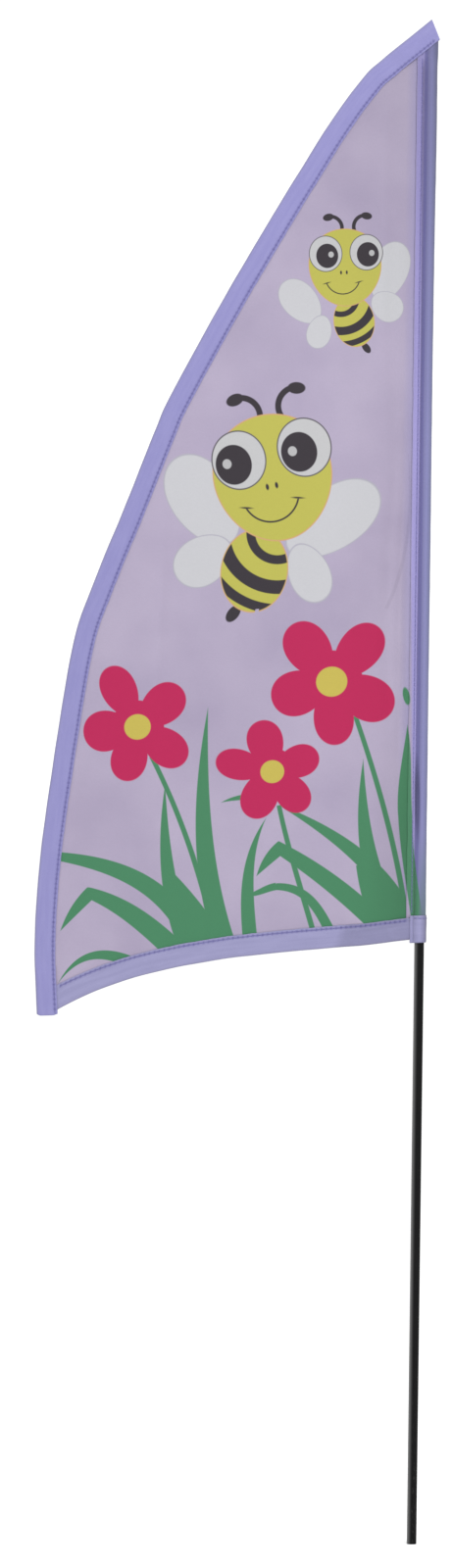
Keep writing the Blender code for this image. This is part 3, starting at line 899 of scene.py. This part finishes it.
def tape_height(side, inward, along, width, open_by, seed):
    """Distance of the tape's wall from the panel's middle, positive outwards."""
    fold = math.sqrt(max(0.0, 1.0 - (1.0 - min(inward / FOLD_REACH, 1.0)) ** 2))
    seam = width - SEAM_INSET
    beat = 0.5 + 0.5 * math.cos(2.0 * math.pi * along / STITCH)
    held = bump(inward, seam, 0.0008)
    puff = bump(inward, seam - 0.0035, 0.0028)
    crease = wrinkle(along * 150.0 + seed, inward * 160.0, 3.0 * side)
    slow = wrinkle(along * 45.0 + seed, inward * 40.0, 7.0 * side)
    pucker = wrinkle(along * 320.0 + seed, 1.5 * side, 0.0)
    lift = TAPE_LIFT - SEAM_DIP * held * (0.5 + 0.5 * beat)
    lift += PUFF * puff * (0.6 + slow) + SMALL_CREASE * crease * (1.0 - held)
    lift += PUCKER * pucker * bump(inward, seam - 0.0016, 0.0014)
    lift += TAPE_SPREAD * open_by
    return fold * max(lift, THINNEST_LIFT)


def leading_open(along):
    """1 where the leading tape crosses the sleeve's top and the lower tape's end, 0 between."""
    top = 1.0 - ramp(along, *TOP_CROSSING)
    bottom = ramp(along, LEADING.length - END_CROSSING[0], LEADING.length - END_CROSSING[1])
    return max(top, bottom)


def across_tape(u, width):
    """Side and distance from the fold of a column of the tape's grid."""
    signed = 2.0 * u - 1.0
    side = -1.0 if signed < 0.0 else 1.0
    return side, width * abs(signed) ** COLUMN_CROWDING


# %% Leading edge tape
LEADING_ROWS = round(LEADING.length / 0.0007)
LEADING_SEED = 11.0         # picks the tape's own wrinkles
END_SLANT = 0.31            # how much the cut end at the peak slants
SLANT_REACH = 0.010
CORNER_STRETCH = 0.0007     # how far the corners of the lower end are drawn out
SEWN_FROM = 4.5             # millimetres from a tape's end to its first stitch


def place_leading(u, v):
    side, inward = across_tape(u, LEADING_WIDTH)
    along = v * LEADING.length
    lift = side * tape_height(side, inward, along, LEADING_WIDTH, leading_open(along), LEADING_SEED)
    ragged = 0.00012 * wrinkle(along * 260.0, side, 0.0) * ramp(inward, 0.008, LEADING_WIDTH)
    wobble = 0.00018 * wrinkle(along * 55.0, 4.0, 0.0)
    slant = END_SLANT * inward * max(0.0, 1.0 - along / SLANT_REACH)
    spot = LEADING.place(along + slant, inward + ragged + wobble)
    corner = CORNER_STRETCH * (bump(inward, LEADING_WIDTH, 0.0012) + bump(inward, 0.0, 0.0010))
    spot = spot + Vector((0.0, corner * bump(along, LEADING.length, 0.0012)))
    return Vector((spot.x, lift + billow(spot.x, spot.y), spot.y))


leading_violet = make_tape_finish("violet_leading_tape", VIOLET, VIOLET_LIGHT, LEADING_WIDTH, 2.0,
                                  (SEWN_FROM, LEADING.length / MM - 2.5), False)
bm = bmesh.new()
cloth_strip(bm, TAPE_COLUMNS, LEADING_ROWS, place_leading,
            lambda u, v: (v * LEADING.length, across_tape(u, LEADING_WIDTH)[1]))
leading_tape = add_piece("leading_tape", bm, leading_violet, "flag",
                         "leading_edge_binding", TAPE_WALL)

# %% [markdown]
# ## Lower tape and the sleeve's mouth
# The lower edge is bound with the same ribbon. It was sewn with less care: it is twisted a little near the
# pole, where a slanting fold crosses it. Past the panel, its end is wrapped round the mouth of the sleeve,
# which keeps the rod from fraying it. That wrapped end is a second strip, which follows the sleeve's
# keyhole section, turns in at the bottom and stops a short way up inside.

# %% The sleeve's section
sleeve_low, sleeve_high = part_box("pole_sleeve")
SLEEVE_RADIUS = 0.00295
SLEEVE_TOP_RADIUS = 0.00355
SLEEVE_WIDENS = (0.600, 0.735)      # heights between which the tube gets wider, for the tip cap
SLEEVE_FLATTENS = (0.7516, 0.7602)  # and between which it is pressed flat, to be sewn shut
SLEEVE_FLAT_RIGHT = 0.00375
SLEEVE_WALL = 0.00024
FLAP_LIFT = 0.00046
FLAP_EDGE_X = -0.0068
SLEEVE_SEAM_X = -0.0041


def sleeve_point(share, z, proud=0.0, flap_edge=FLAP_EDGE_X):
    """X and Y of the sleeve's cloth: share runs from 0 at the front flap's edge, round the rod, to 1."""
    radius = mix(SLEEVE_RADIUS, SLEEVE_TOP_RADIUS, ramp(z, *SLEEVE_WIDENS)) + proud
    half = FLAP_LIFT + proud
    flat = ramp(z, *SLEEVE_FLATTENS)
    last = math.pi - math.asin(half / radius)
    joint_x = -math.sqrt(radius ** 2 - half ** 2)
    flap = joint_x - flap_edge
    path = 2.0 * flap + 2.0 * radius * last
    run = share * path
    if run < flap:
        return flap_edge + run, -half
    if run > path - flap:
        return flap_edge + path - run, half
    angle = -last + (run - flap) / radius
    part = abs(angle) / last
    level_x = mix(SLEEVE_FLAT_RIGHT + proud, joint_x, part)
    level_y = math.copysign(half * math.sin(min(1.0, abs(angle) / 0.35) * math.pi / 2), angle)
    return (mix(radius * math.cos(angle), level_x, flat), mix(radius * math.sin(angle), level_y, flat))


# %% Lower tape
LOWER_LEFT_X = -0.1875
LOWER_RIGHT_X = -0.0040
LOWER_LENGTH = LOWER_RIGHT_X - LOWER_LEFT_X
LOWER_ROWS = round(LOWER_LENGTH / 0.0006)
LOWER_SEED = 37.0
FLAPS_FROM = (-0.018, -0.0082)      # X between which the lower tape opens for the flaps
TWIST_X = -0.0335
TWIST_SLANT = 0.35


def lower_open(x):
    """1 where the lower tape crosses the sleeve's flaps."""
    return ramp(x, *FLAPS_FROM)


def twist(x, inward):
    """Height of the slanting fold and the slack cloth beside it, near the pole."""
    fold_x = TWIST_X + TWIST_SLANT * (inward - 0.5 * LOWER_WIDTH)
    ridge = 0.00045 * bump(x, fold_x, 0.0016)
    hollow = -0.00022 * bump(x, fold_x + 0.0040, 0.0028)
    second = 0.00025 * bump(x, -0.0135 - 0.5 * inward, 0.0014)
    return (ridge + hollow + second) * ramp(inward, 0.0006, 0.003) * (1.0 - ramp(inward, 0.0080, 0.0098))


def place_lower(u, v):
    side, inward = across_tape(u, LOWER_WIDTH)
    along = v * LOWER_LENGTH
    x = LOWER_LEFT_X + along
    lift = tape_height(side, inward, along, LOWER_WIDTH, lower_open(x), LOWER_SEED)
    lift += twist(x, inward) * (1.0 if side < 0.0 else 0.4)
    ragged = 0.00014 * wrinkle(along * 240.0, side, 8.0) * ramp(inward, 0.008, LOWER_WIDTH)
    wobble = 0.00022 * wrinkle(along * 60.0, 9.0, 0.0)
    z = lower_height(x, inward + ragged + wobble)
    return Vector((x, side * lift + billow(x, z), z))


lower_violet = make_tape_finish("violet_lower_tape", VIOLET_PALE, VIOLET_PALE_LIGHT, LOWER_WIDTH, 9.0,
                                (SEWN_FROM, 181.0), True)
bm = bmesh.new()
cloth_strip(bm, TAPE_COLUMNS, LOWER_ROWS, place_lower,
            lambda u, v: (v * LOWER_LENGTH, across_tape(u, LOWER_WIDTH)[1]))

# %% Wrapped mouth
MOUTH_BOTTOM = 0.3068
MOUTH_TOP = MOUTH_BOTTOM + 0.0138
MOUTH_PROUD = 0.00052
MOUTH_TURN = 0.0006
MOUTH_INSIDE = 0.0020
MOUTH_EDGE_X = -0.0049
MOUTH_SLANT = 0.05          # the mouth was sewn on a little askew, rising to the right
MOUTH_LEVEL_X = -0.003
MOUTH_UV = (0.190, 0.024)   # where the mouth starts on the ribbon, and its length round the sleeve
MOUTH_UV_HEIGHT = 0.0112
MOUTH_COLUMNS = 64
MOUTH_ROWS = 44


def place_mouth(u, v):
    """Down the outside, round the lip, and a little way up inside."""
    outside = MOUTH_TOP - MOUTH_BOTTOM - MOUTH_TURN
    lip = math.pi * MOUTH_TURN / 2
    run = v * (outside + lip + MOUTH_INSIDE)
    if run < outside:
        z, proud = MOUTH_TOP - run, MOUTH_PROUD
    elif run < outside + lip:
        angle = math.pi * (run - outside) / lip
        z = MOUTH_BOTTOM + MOUTH_TURN - MOUTH_TURN * math.sin(angle)
        proud = MOUTH_PROUD - 0.5 * MOUTH_TURN * (1.0 - math.cos(angle))
    else:
        z, proud = MOUTH_BOTTOM + MOUTH_TURN + run - outside - lip, MOUTH_PROUD - MOUTH_TURN
    x, y = sleeve_point(u, z, proud, MOUTH_EDGE_X)
    loose = 0.00012 * wrinkle(x * 500.0, y * 500.0, z * 220.0) if proud > 0.0 else 0.0
    open_by = TAPE_SPREAD * 1.1 * bump(x, MOUTH_EDGE_X, 0.0016)
    away = Vector((x, y)).normalized() * loose
    askew = MOUTH_SLANT * (x - MOUTH_LEVEL_X)
    return Vector((x + away.x, y + away.y + math.copysign(open_by, y), z + askew))


cloth_strip(bm, MOUTH_COLUMNS, MOUTH_ROWS, place_mouth,
            lambda u, v: (MOUTH_UV[0] + MOUTH_UV[1] * u, MOUTH_UV_HEIGHT * (1.0 - v)))
lower_tape = add_piece("lower_tape", bm, lower_violet, "flag", "lower_edge_binding",
                       TAPE_WALL)

# %% [markdown]
# ## Pole sleeve
# The sleeve is a strip folded round the rod, with its two flaps sewn through the panel's straight edge.
# Its section is a keyhole. The cloth is thin, and the black rod shows through where it touches: the tube
# looks greyer and darker than the flaps. That is real colour, not only shade, so the finish paints it across
# the strip, and paints shade with it: the groove beside the seam is darkest, the tube's far side darker and
# its crest lighter, and a long hollow above the mouth is painted dark. The leaf of the print grows over it,
# and fades into a green haze round the tube's lower end, darkened there by painted shade. Towards its top
# the sleeve is painted darker.

# %% Finish of the sleeve
HAZE_AND_SHADE_HEIGHTS = (362.0, 322.0)


def make_sleeve_finish():
    finish = cloth_finish("sleeve_polyester")
    at = finish.coordinates()
    x, y, z = finish.parts(at)
    along, _, _ = finish.parts(finish.coordinates("UV"))
    drift = finish.noise(finish.join(0.0, 0.0, z * 0.012), 1.0, 3.0) * 1.2 - 0.6
    streak = finish.noise(finish.join(x * 0.9, y * 0.9, z * 0.02), 1.0, 3.0)
    violet_from = z.step(500.0, 350.0) * 2.9 - 6.7
    ground = finish.over(LILAC_SHADE, SLEEVE_VIOLET, (x - violet_from).step(-0.6, 0.6))
    # The rod showing through the cloth, with painted shade in the groove and on the far side and a lighter
    # crest.
    rod = finish.node("ShaderNodeValToRGB", {"stops": ROD_THROUGH_AND_SHADE},
                      {0: (x + drift * 0.3).step(-3.2, 3.2)})
    color = finish.over(ground, rod, (x + drift * 0.2).step(-3.3, -2.7))
    flat = finish.join(x, 0.0, z)
    on_front = y.step(1.5, 0.0)
    # Painted shade in a long hollow above the mouth.
    hollow = oval(finish, flat, *SLEEVE_HOLLOW_SHADE).step(1.0, 0.45)
    color = finish.over(color, HOLLOW_SHADE_VIOLET, hollow * on_front)
    color = finish.over(color, SLEEVE_STREAK, streak.step(0.45, 0.8) * 0.35)
    green = finish.over(GREEN, GREEN_ROUND_THE_ROD, x.step(-1.0, 3.0))
    color = finish.over(color, green, leaf_by_the_sleeve(finish, flat) * on_front * 0.97)
    # The print's green round the tube's lower end, darkened there by painted shade.
    haze_and_shade = z.step(*HAZE_AND_SHADE_HEIGHTS) * x.step(-1.0, 0.5)
    color = finish.over(color, GREEN_HAZE_AND_SHADE, haze_and_shade * 0.85)
    marks = needle_marks(finish, z, x - SLEEVE_SEAM_X / MM, 0.6)
    color = finish.over(color, VIOLET_DEEP, marks * 0.7)
    weave = plain_weave(finish, along, z)
    speckle = finish.noise(at, 1.2, 3.0, 0.7)
    # The sleeve is painted darker towards its top.
    light = weave * 0.06 + speckle * 0.12 + 0.88 - z.step(560.0, 745.0) * 0.22
    finish.feed("Base Color", finish.tint(color, light))
    finish.feed("Roughness", speckle * 0.15 + 0.70)
    finish.relief(weave * 0.6 + speckle * 0.4 - marks, 0.00008)
    return finish.material


# %% Sleeve
SLEEVE_LENGTH = sleeve_high.z - sleeve_low.z
SLEEVE_ROWS = round(SLEEVE_LENGTH / 0.0010)
SLEEVE_COLUMNS = 84
SLEEVE_STRIP = 0.0262       # width of the flat strip


def place_sleeve(u, v):
    z = mix(sleeve_low.z, sleeve_high.z, v)
    x, y = sleeve_point(u, z)
    side = -1.0 if y < 0.0 else 1.0
    on_flap = 1.0 - ramp(x, -0.0040, -0.0029)
    beat = 0.5 + 0.5 * math.cos(2.0 * math.pi * z / STITCH)
    held = bump(x, SLEEVE_SEAM_X, 0.0008) * on_flap
    long_fold = wrinkle(u * 9.0, 2.0, z * 16.0)
    short_fold = wrinkle(u * 6.0, 5.0, z * 130.0)
    pucker = wrinkle(side * 3.0, 8.0, z * 300.0)
    out = Vector((0.0, side)) if on_flap > 0.5 else Vector((x, y)).normalized()
    slack = 0.00016 * long_fold + 0.00007 * short_fold + 0.00004
    lift = slack * (1.0 - 0.6 * on_flap) - 0.00008 * held * beat + 0.00010 * pucker * on_flap
    lift = max(lift, -0.00010)
    edge = 0.00022 * wrinkle(z * 90.0, side, 4.0) * bump(x, FLAP_EDGE_X, 0.0012)
    spot = Vector((x + edge, y)) + out * lift
    return Vector((spot.x, spot.y + billow(spot.x, z), z))


bm = bmesh.new()
cloth_strip(bm, SLEEVE_COLUMNS, SLEEVE_ROWS, place_sleeve,
            lambda u, v: (u * SLEEVE_STRIP, v * SLEEVE_LENGTH))
sleeve = add_piece("sleeve", bm, make_sleeve_finish(), "flag", "pole_sleeve", SLEEVE_WALL)

# %% [markdown]
# ## Printed panel
# The panel is one cut of thin cloth, held on every side: by the sleeve, by the curved tape and by the lower
# tape. It can't drape, but it is never quite flat. It keeps the flag's slow wave, draws up in small ripples
# where the tapes pull at it, and hangs in a few long soft folds beside the pole. A fine grid carries these.

# %% Ripples and folds of the panel
PANEL_RIGHT_X = -0.0036
PANEL_INSET = 0.0015
PANEL_WALL = 0.00022
PANEL_COLUMNS = 92
PANEL_ROWS = 230
PANEL_CORNER_X = LOWER_LEFT_X - 0.004       # the panel's lower left corner, hidden in both tapes
FLAT_SHARE = 0.995          # the waves make the hung cloth this much larger than its cut
MEADOW_TOP = 0.475
LEFT_FLOWER = (-0.085, 0.463)       # over the left flower, the bees' ground starts lower
POLE_FOLDS = [      # X, height of the middle, half height, depth and half width, all in metres
    (-0.0105, 0.545, 0.110, 0.00110, 0.0024),
    (-0.0165, 0.490, 0.085, -0.00100, 0.0032),
    (-0.0110, 0.450, 0.075, 0.00090, 0.0020),
    (-0.0210, 0.660, 0.070, 0.00045, 0.0030),
    (-0.1340, 0.470, 0.030, 0.00060, 0.0020),
    (-0.0290, 0.360, 0.035, -0.00070, 0.0060),
]


def edge_distance(x, z):
    """How far inside the leading edge a spot lies, nearly."""
    edge_x = LEADING.x_at(z, 0.0)
    slope = (LEADING.x_at(z - 0.002, 0.0) - LEADING.x_at(z + 0.002, 0.0)) / 0.004
    return (x - edge_x) / math.sqrt(1.0 + slope * slope)


def ripple(x, z, inside):
    """The small shift along Y that the seams and the cloth's slack give the panel."""
    below = z - lower_height(min(max(x, LOWER_LEFT_X), LOWER_RIGHT_X))
    drawn = math.exp(-max(inside - 0.010, 0.0) / 0.010)
    gathered = math.exp(-max(below - 0.011, 0.0) / 0.010)
    held = smooth((inside - 0.0095) / 0.006) * smooth((below - 0.010) / 0.006) * smooth((-0.0068 - x) / 0.004)
    shift = 0.00085 * drawn * wrinkle(x * 55.0 - z * 85.0, 1.0, 0.0)
    shift += 0.00070 * gathered * wrinkle(x * 120.0, 6.0, z * 20.0)
    shift += 0.00110 * wrinkle(x * 14.0, 3.0, z * 9.0)
    shift += 0.00030 * wrinkle(x * 60.0, 5.0, z * 34.0)
    for fold_x, fold_z, half, depth, width in POLE_FOLDS:
        line = fold_x + 0.004 * wrinkle(fold_x * 40.0, z * 12.0, 2.0)
        shift += depth * bump(x, line, width) * bump(z, fold_z, half)
    return shift * held


# %% Panel
def place_panel(u, v):
    foot_x = mix(PANEL_RIGHT_X, PANEL_CORNER_X, u)
    foot = lower_height(max(foot_x, LOWER_LEFT_X), PANEL_INSET)
    z = mix(foot, panel_high.z, v)
    left = LEADING.x_at(z, PANEL_INSET)
    x = mix(PANEL_RIGHT_X, left, u)
    return Vector((x, billow(x, z) + ripple(x, z, edge_distance(x, z)), z))


panel_low, panel_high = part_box("printed_panel")
bm = bmesh.new()
cloth_strip(bm, PANEL_COLUMNS, PANEL_ROWS, place_panel)
panel_area = sum(face.calc_area() for face in bm.faces)
for face in bm.faces:
    spot = face.calc_center_median()
    by_the_left_flower = spot.x < LEFT_FLOWER[0] and spot.z > LEFT_FLOWER[1]
    face.material_index = 1 if spot.z > MEADOW_TOP or by_the_left_flower else 0
panel = add_piece("panel", bm, meadow_cloth, "flag", "printed_panel", PANEL_WALL)
panel.data.materials.append(swarm_cloth)
print("panel area", round(panel_area * 1e4), "square cm")

# %% [markdown]
# ## Stitches
# Each seam is a lock stitch: a needle thread shows on the front, a bobbin thread on the back, and both dive
# into the cloth where they meet. One stitch is a grain of thread, thick in the middle and thin at the ends.
# A sphere of a few dozen faces, stretched along the seam, is enough, because there are hundreds of them.

# %% Thread
def make_thread_finish():
    finish = cloth_finish("violet_thread")
    at = finish.coordinates()
    x, _, z = finish.parts(at)
    ply = (x * 9.0 + z * 9.0).sine()
    fuzz = finish.noise(at, 2.5, 2.0)
    finish.feed("Base Color", finish.over(THREAD_DARK, THREAD_LIGHT, fuzz.step(0.3, 0.75)))
    finish.feed("Roughness", fuzz * 0.2 + 0.55)
    finish.relief(ply * 0.5 + 0.5, 0.00004)
    return finish.material


STITCH_LENGTH = 0.00215
STITCH_HALF_WIDTH = 0.00024
STITCH_HALF_HEIGHT = 0.00018
thread = make_thread_finish()


def make_grain():
    """The mesh of one stitch, a unit sphere along Z."""
    bm = bmesh.new()
    bmesh.ops.create_uvsphere(bm, u_segments=7, v_segments=5, radius=1.0)
    mesh = bpy.data.meshes.new("stitch_grain")
    bm.to_mesh(mesh)
    bm.free()
    return mesh


grain = make_grain()


def add_stitch(bm, middle_point, direction, outward):
    """One grain of thread along a direction, lying on the cloth."""
    side = outward.cross(direction).normalized()
    basis = Matrix((side * STITCH_HALF_WIDTH, outward * STITCH_HALF_HEIGHT, direction * STITCH_LENGTH / 2))
    copy = grain.copy()
    copy.transform(Matrix.Translation(middle_point) @ basis.transposed().to_4x4())
    bm.from_mesh(copy)
    bpy.data.meshes.remove(copy)


def sew(name, node, side, count, spot):
    """Stitches at spot(0) to spot(count - 1), on one side of the cloth, from -1 in front to 1 behind.
    Neighbouring spots give a stitch its direction."""
    bm = bmesh.new()
    for i in range(count):
        direction = (spot(i + 0.4, side) - spot(i - 0.4, side)).normalized()
        outward = Vector((0.0, side, 0.0))
        outward = (outward - direction * outward.dot(direction)).normalized()
        lean = 0.05 * wrinkle(i * 0.7, side, len(name))
        direction = (direction + outward.cross(direction) * lean).normalized()
        add_stitch(bm, spot(i, side), direction, outward)
    print(name, "has", count, "stitches")
    return add_piece(name, bm, thread, "flag", node)


# %% Where the stitches lie
FIRST_STITCH = 2.5          # stitches left out at the start of each tape
LEADING_SEAM_REST = 0.0055  # length left without stitches, both ends together
LOWER_SEAM_REST = 0.0085
SLEEVE_SEAM_TOP = 0.7585
SLEEVE_SEAM_REST = 0.002
THREAD_LIFT = 0.00006       # middle of a stitch above the cloth's surface
MOUTH_STITCHES = 5
MOUTH_SHARES = (0.05, 0.104)        # first stitch and step, as shares of the way round the mouth


def leading_spot(i, side):
    along = STITCH * (i + FIRST_STITCH)
    line = LEADING_WIDTH - SEAM_INSET
    spot = LEADING.place(along, line)
    lift = tape_height(side, line, along, LEADING_WIDTH, leading_open(along), LEADING_SEED)
    return Vector((spot.x, side * (lift + TAPE_WALL / 2 + THREAD_LIFT) + billow(spot.x, spot.y), spot.y))


def mouth_spot(i, side):
    """The lower seam goes on over the wrapped mouth, round towards the far side of the rod."""
    share = MOUTH_SHARES[0] + MOUTH_SHARES[1] * i
    z = MOUTH_TOP - SEAM_INSET
    proud = MOUTH_PROUD + TAPE_WALL / 2 + THREAD_LIFT
    return Vector((*sleeve_point(share if side < 0.0 else 1.0 - share, z, proud, MOUTH_EDGE_X), z))


def lower_spot(i, side):
    if i > lower_count - 0.5:
        return mouth_spot(i - lower_count, side)
    along = STITCH * (i + FIRST_STITCH)
    line = LOWER_WIDTH - SEAM_INSET
    x = LOWER_LEFT_X + along
    z = lower_height(x, line)
    lift = tape_height(side, line, along, LOWER_WIDTH, lower_open(x), LOWER_SEED)
    return Vector((x, side * (lift + TAPE_WALL / 2 + THREAD_LIFT) + billow(x, z), z))


def sleeve_spot(i, side):
    z = STITCH * (round((MOUTH_TOP + 0.001) / STITCH) + i + 0.5)
    return Vector((SLEEVE_SEAM_X, side * (FLAP_LIFT + 0.00016) + billow(SLEEVE_SEAM_X, z), z))


# %% Six seams
lower_count = int((LOWER_LENGTH - LOWER_SEAM_REST) / STITCH)
SEAMS = [
    ("leading_seam", int((LEADING.length - LEADING_SEAM_REST) / STITCH), leading_spot),
    ("lower_seam", lower_count + MOUTH_STITCHES, lower_spot),
    ("sleeve_seam", int((SLEEVE_SEAM_TOP - MOUTH_TOP - SLEEVE_SEAM_REST) / STITCH), sleeve_spot),
]
for seam, count, spot in SEAMS:
    sew(seam + "_front", seam + "_needle_thread", -1.0, count, spot)
    sew(seam + "_back", seam + "_bobbin_thread", 1.0, count, spot)

# %% [markdown]
# ## The rod
# The rod is pultruded fibreglass, black all through. Drawing it through its die leaves fine lines along
# its length, and pushing it into soil scuffs the foot. A cylinder with bevelled ends has the shape, and
# the lines and scuffs are stretched noise in its finish. A paler stripe on its left side is a painted
# reflection of the white surroundings.

# %% Rod
ROD_BLACK = (0.0022, 0.0022, 0.0024)
ROD_LINES = (0.0055, 0.0055, 0.0058)
ROD_PAINTED_REFLECTION = (0.17, 0.17, 0.17)
ROD_SCUFF = (0.040, 0.039, 0.037)
ROD_RINGS = 15              # the long wall is cut into this many rings
ROD_ROUNDING = 0.0005
SHARP = 50                  # degrees from which an edge stays sharp


def make_rod_finish():
    finish = Finish("black_fibreglass", specular_ior_level=0.07)
    at = finish.coordinates()
    x, y, z = finish.parts(at)
    lines = finish.noise(finish.join(x * 4.0, y * 4.0, z * 0.03), 1.0, 3.0, 0.6)
    scuffs = finish.noise(finish.join(x * 1.5, y * 1.5, z * 0.5), 1.0, 4.0, 0.7)
    foot = z.step(95.0, 5.0)
    worn = (scuffs.step(0.56, 0.74) * (foot * 0.8 + 0.12)).limit()
    color = finish.over(ROD_BLACK, ROD_LINES, lines.step(0.35, 0.75))
    # Painted reflection: a paler stripe down the rod's left side.
    painted_reflection = x.step(-0.2, -2.5)
    color = finish.over(color, ROD_PAINTED_REFLECTION, painted_reflection * painted_reflection)
    color = finish.over(color, ROD_SCUFF, worn)
    finish.feed("Base Color", color)
    finish.feed("Roughness", lines * 0.18 + worn * 0.25 + 0.30)
    finish.relief(lines, 0.00003)
    return finish.material


pole_low, pole_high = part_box("pole")
POLE_RADIUS = (pole_high.x - pole_low.x) / 2
POLE_LENGTH = pole_high.z - pole_low.z
bm = bmesh.new()
bmesh.ops.create_cone(bm, cap_ends=True, segments=64, radius1=POLE_RADIUS, radius2=POLE_RADIUS,
                      depth=POLE_LENGTH)
bmesh.ops.translate(bm, verts=bm.verts, vec=(0.0, 0.0, POLE_LENGTH / 2))
rims = [edge for edge in bm.edges if abs(edge.verts[0].co.z - edge.verts[1].co.z) < 1e-6]
bmesh.ops.bevel(bm, geom=rims, offset=ROD_ROUNDING, offset_type="OFFSET", segments=4, profile=0.5,
                affect="EDGES", material=-1)
for cut in range(1, ROD_RINGS):
    bmesh.ops.bisect_plane(bm, geom=[*bm.verts, *bm.edges, *bm.faces],
                           plane_co=(0.0, 0.0, POLE_LENGTH * cut / ROD_RINGS), plane_no=(0.0, 0.0, 1.0))
rod = add_piece("rod", bm, make_rod_finish(), "pole", "pole")
rod.data.set_sharp_from_angle(angle=math.radians(SHARP))

# %% [markdown]
# ## The tip cap
# A soft black cap keeps the rod's end from cutting through the sleeve. It is hidden until the flag is
# lifted off. It is a turned cup, so half of its section is spun once round the rod's axis.

# %% Tip cap
CAP_BLACK = (0.016, 0.016, 0.018)
CAP_GREY = (0.035, 0.035, 0.038)
CAP_WALL = 0.0003
CAP_ROOF = 0.0008


def make_cap_finish():
    finish = Finish("black_vinyl", specular_ior_level=0.4)
    mottle = finish.noise(finish.coordinates(), 3.0, 3.0)
    finish.feed("Base Color", finish.over(CAP_BLACK, CAP_GREY, mottle.step(0.4, 0.7)))
    finish.feed("Roughness", mottle * 0.2 + 0.45)
    finish.relief(mottle, 0.00004)
    return finish.material


cap_low, cap_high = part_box("pole_tip_cap")
cap_outer = (cap_high.x - cap_low.x) / 2
cap_inner = cap_outer - CAP_WALL
cap_roof = cap_high.z - CAP_ROOF
profile = [(0.0, cap_high.z), (cap_outer - 0.0008, cap_high.z), (cap_outer - 0.0003, cap_high.z - 0.0001),
           (cap_outer, cap_high.z - 0.0006), (cap_outer, cap_low.z + 0.0001),
           (cap_outer - 0.0001, cap_low.z), (cap_inner, cap_low.z), (cap_inner, cap_roof), (0.0, cap_roof)]
bm = bmesh.new()
ring_points = [bm.verts.new((r, 0.0, z)) for r, z in profile]
ring_edges = [bm.edges.new(pair) for pair in zip(ring_points, ring_points[1:])]
bmesh.ops.spin(bm, geom=ring_points + ring_edges, cent=(0, 0, 0), axis=(0, 0, 1), angle=2 * math.pi,
               steps=48, use_merge=True, use_duplicate=False)
bmesh.ops.remove_doubles(bm, verts=bm.verts, dist=0.00001)
cap = add_piece("tip_cap", bm, make_cap_finish(), "sleeve_tip", "pole_tip_cap")
cap.data.set_sharp_from_angle(angle=math.radians(SHARP))

# %% [markdown]
# ## Floor
# The floor is a single wide plane. It is nearly white, with the faintest unevenness, and the shadow at the
# rod's foot is the only thing that shows it.

# %% Floor
floor_finish = Finish("pale_floor", roughness=0.9, specular_ior_level=0.1)
floor_noise = floor_finish.noise(floor_finish.coordinates(), 0.002, 2.0)
floor_finish.feed("Base Color", floor_finish.over((0.90, 0.90, 0.90), (0.93, 0.93, 0.93), floor_noise))
bm = bmesh.new()
bmesh.ops.create_grid(bm, x_segments=2, y_segments=2, size=FLOOR_HALF)
floor_mesh = bpy.data.meshes.new("floor")
bm.to_mesh(floor_mesh)
bm.free()
floor_mesh.materials.append(floor_finish.material)
floor = bpy.data.objects.new("floor", floor_mesh)
scene.collection.objects.link(floor)

# %% [markdown]
# ## The cloth's flat size
# The flag is one sheet: the panel, with the tapes, the sleeve and the seams sewn to it. Its flat size is
# that of the cut, measured before it was hung.

# %% Sheet and sizes
panel_area * FLAT_SHARE
